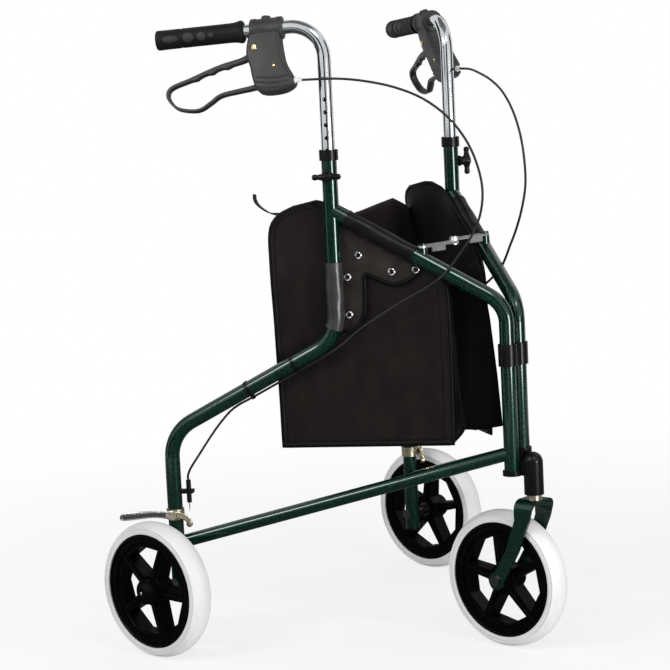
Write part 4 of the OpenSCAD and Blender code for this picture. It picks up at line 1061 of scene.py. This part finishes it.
# Loose tab at the right panel's rear top corner
TAB_LINE = [
    (-147, 296, 634), (-164, 299, 636), (-179, 300, 643), (-192, 300, 652), (-198, 299, 660),
    (-199, 298, 667)]
TAB_HALF_T = 0.8
TAB_HALF_WIDE = (7, 3)


def tab_section(t):
    """Section of the tab, which narrows toward its end."""
    half = lerp(*TAB_HALF_WIDE, t)
    return [(half, TAB_HALF_T), (-half, TAB_HALF_T), (-half, -TAB_HALF_T), (half, -TAB_HALF_T)]


tab_mesh = sweep([mm(*p) for p in through(TAB_LINE, 6)], tab_section, (0, 1, 0.2))
# The tab wears the flap's vinyl, with its painted sheen
tab = piece("right_bag_tab", *tab_mesh, FLAP, "bag_vinyl", "right_frame", sharp=60)

# Stage in metres: floor, world, the camera at the photograph's angle, dark cards for reflections, and lamps


def seen_by(tree):
    """1 for rays from the camera and for those that metal and glass show."""
    path = new_node(tree, "LightPath")
    value = path.outputs["Is Camera Ray"]
    for kind in ("Is Glossy Ray", "Is Transmission Ray"):
        either = new_node(tree, "Math")
        either.operation = "MAXIMUM"
        tree.links.new(value, either.inputs[0])
        tree.links.new(path.outputs[kind], either.inputs[1])
        value = either.outputs[0]
    return value


def staged(name, corners, material):
    mesh = bpy.data.meshes.new(name)
    mesh.from_pydata(corners, [], [(0, 1, 2, 3)])
    mesh.materials.append(material)
    obj = new_object(name, mesh)
    return obj


paper = bpy.data.materials.new("floor_paper")
paper.use_nodes = True
tree = paper.node_tree
tree.nodes.clear()
matt = new_node(tree, "BsdfDiffuse", Color=(0.9, 0.9, 0.9, 1))
white = new_node(tree, "Emission")
spot = new_node(tree, "TexCoord")
reach = new_node(tree, "VectorMath")
reach.operation = "LENGTH"
fade = new_node(tree, "MapRange", From_Min=0.5, From_Max=1.7, To_Min=0.76, To_Max=1.0)
share = new_node(tree, "Math")
share.operation = "MULTIPLY"
mix = new_node(tree, "MixShader")
sheet_out = new_node(tree, "OutputMaterial")
for a, b in (
        (spot.outputs["Object"], reach.inputs[0]), (reach.outputs["Value"], fade.inputs["Value"]),
        (fade.outputs["Result"], share.inputs[0]), (seen_by(tree), share.inputs[1]),
        (share.outputs[0], mix.inputs[0]), (matt.outputs[0], mix.inputs[1]),
        (white.outputs[0], mix.inputs[2]), (mix.outputs[0], sheet_out.inputs[0])):
    tree.links.new(a, b)
FLOOR = 30.0
staged("floor", [(-FLOOR, -FLOOR, 0), (FLOOR, -FLOOR, 0), (FLOOR, FLOOR, 0), (-FLOOR, FLOOR, 0)], paper)

world = bpy.data.worlds.new("studio")
bpy.context.scene.world = world
world.use_nodes = True
tree = world.node_tree
level = new_node(tree, "MapRange", To_Min=0.36, To_Max=1.0)
tree.links.new(seen_by(tree), level.inputs["Value"])
tree.links.new(level.outputs["Result"], tree.nodes["Background"].inputs["Strength"])
fill(tree.nodes["Background"], {"Color": (1, 1, 1, 1)})

AZIMUTH, ELEVATION, ROLL = math.radians(-48.04), math.radians(7.67), math.radians(-2.82)
DISTANCE_MM = 3300
FOCUS_PX, IMAGE_PX = 2240, 670
AIM = (0, 200, 430)
# Shift of the aim to the picture's right and up
AIM_SHIFT = (-101.6, 18.46)
right = Vector((math.cos(AZIMUTH), math.sin(AZIMUTH), 0))
back = Vector((
    math.sin(AZIMUTH) * math.cos(ELEVATION), -math.cos(AZIMUTH) * math.cos(ELEVATION), math.sin(ELEVATION)))
up = back.cross(right)
target = mm(*AIM) + (right * AIM_SHIFT[0] + up * AIM_SHIFT[1]) * MM
cam_data = bpy.data.cameras.new("photo_angle")
cam_data.sensor_width = 36
cam_data.lens = cam_data.sensor_width * FOCUS_PX / IMAGE_PX
cam = new_object("photo_angle", cam_data)
rolled_right = right * math.cos(ROLL) + up * math.sin(ROLL)
rolled_up = up * math.cos(ROLL) - right * math.sin(ROLL)
place = Matrix((rolled_right, rolled_up, back)).transposed().to_4x4()
place.translation = target + back * DISTANCE_MM * MM
cam.matrix_world = place
bpy.context.scene.camera = cam
bpy.context.scene.view_settings.view_transform = "Standard"

front_way = Vector((math.sin(AZIMUTH), -math.cos(AZIMUTH), 0))
# Cards as name, bearing from the camera in degrees, distance, width, height and shade
CARDS = [
    ("card_left", -112, 2.3, 1.5, 2.4, 0.02), ("card_side", -46, 1.9, 2.3, 0.62, 0.1),
    ("card_middle", -4, 4.6, 1.8, 2.4, 0.05), ("card_right", 92, 2.4, 1.5, 2.4, 0.02),
    ("card_back", 178, 2.4, 2.2, 2.4, 0.16), ("card_near", 18, 2.0, 0.75, 0.6, 0.1),
    ("card_far", 62, 2.0, 0.85, 0.6, 0.1)]
flats = []
for name, degrees, away, width, tall, shade in CARDS:
    turn = math.radians(degrees)
    way = front_way * math.cos(turn) + right * math.sin(turn)
    across = Vector((-way.y, way.x, 0)) * width / 2
    foot = [way * away - across, way * away + across]
    flats.append((name, foot + [p + Vector((0, 0, tall)) for p in reversed(foot)], shade))
for name, half, z, shade in (("card_top", 1.1, 2.7, 0.25), ("card_floor", 1.6, 0.004, 0.16)):
    flats.append((name, [(-half, -half, z), (half, -half, z), (half, half, z), (-half, half, z)], shade))
for name, corners, shade in flats:
    card = staged(name, corners, Shader(name, (shade, shade, shade), 0.9, Specular_IOR_Level=0.0).material)
    card.visible_camera = card.visible_diffuse = card.visible_shadow = card.visible_transmission = False


def lamp(name, place, aim, size, watts):
    data = bpy.data.lights.new(name, "AREA")
    data.shape = "RECTANGLE"
    data.size, data.size_y = size
    data.energy = watts
    obj = new_object(name, data)
    obj.location = place
    obj.rotation_euler = (Vector(aim) - Vector(place)).to_track_quat("-Z", "Y").to_euler()
    return obj


lamp("front_soft", (-0.35, -2.5, 0.36), (0, 0, 0.45), (0.7, 0.66), 34)
lamp("side_soft", (-2.2, 0.19, 1.8), (0, 0, 0.4), (1.0, 0.4), 22)
lamp("key_soft", (-1.06, -1.7, 2.3), (0, 0, 0.5), (0.5, 0.5), 14)
lamp("top_soft", (0.3, 0.3, 3.1), (0, 0, 0.3), (2.2, 2.2), 16).visible_glossy = False
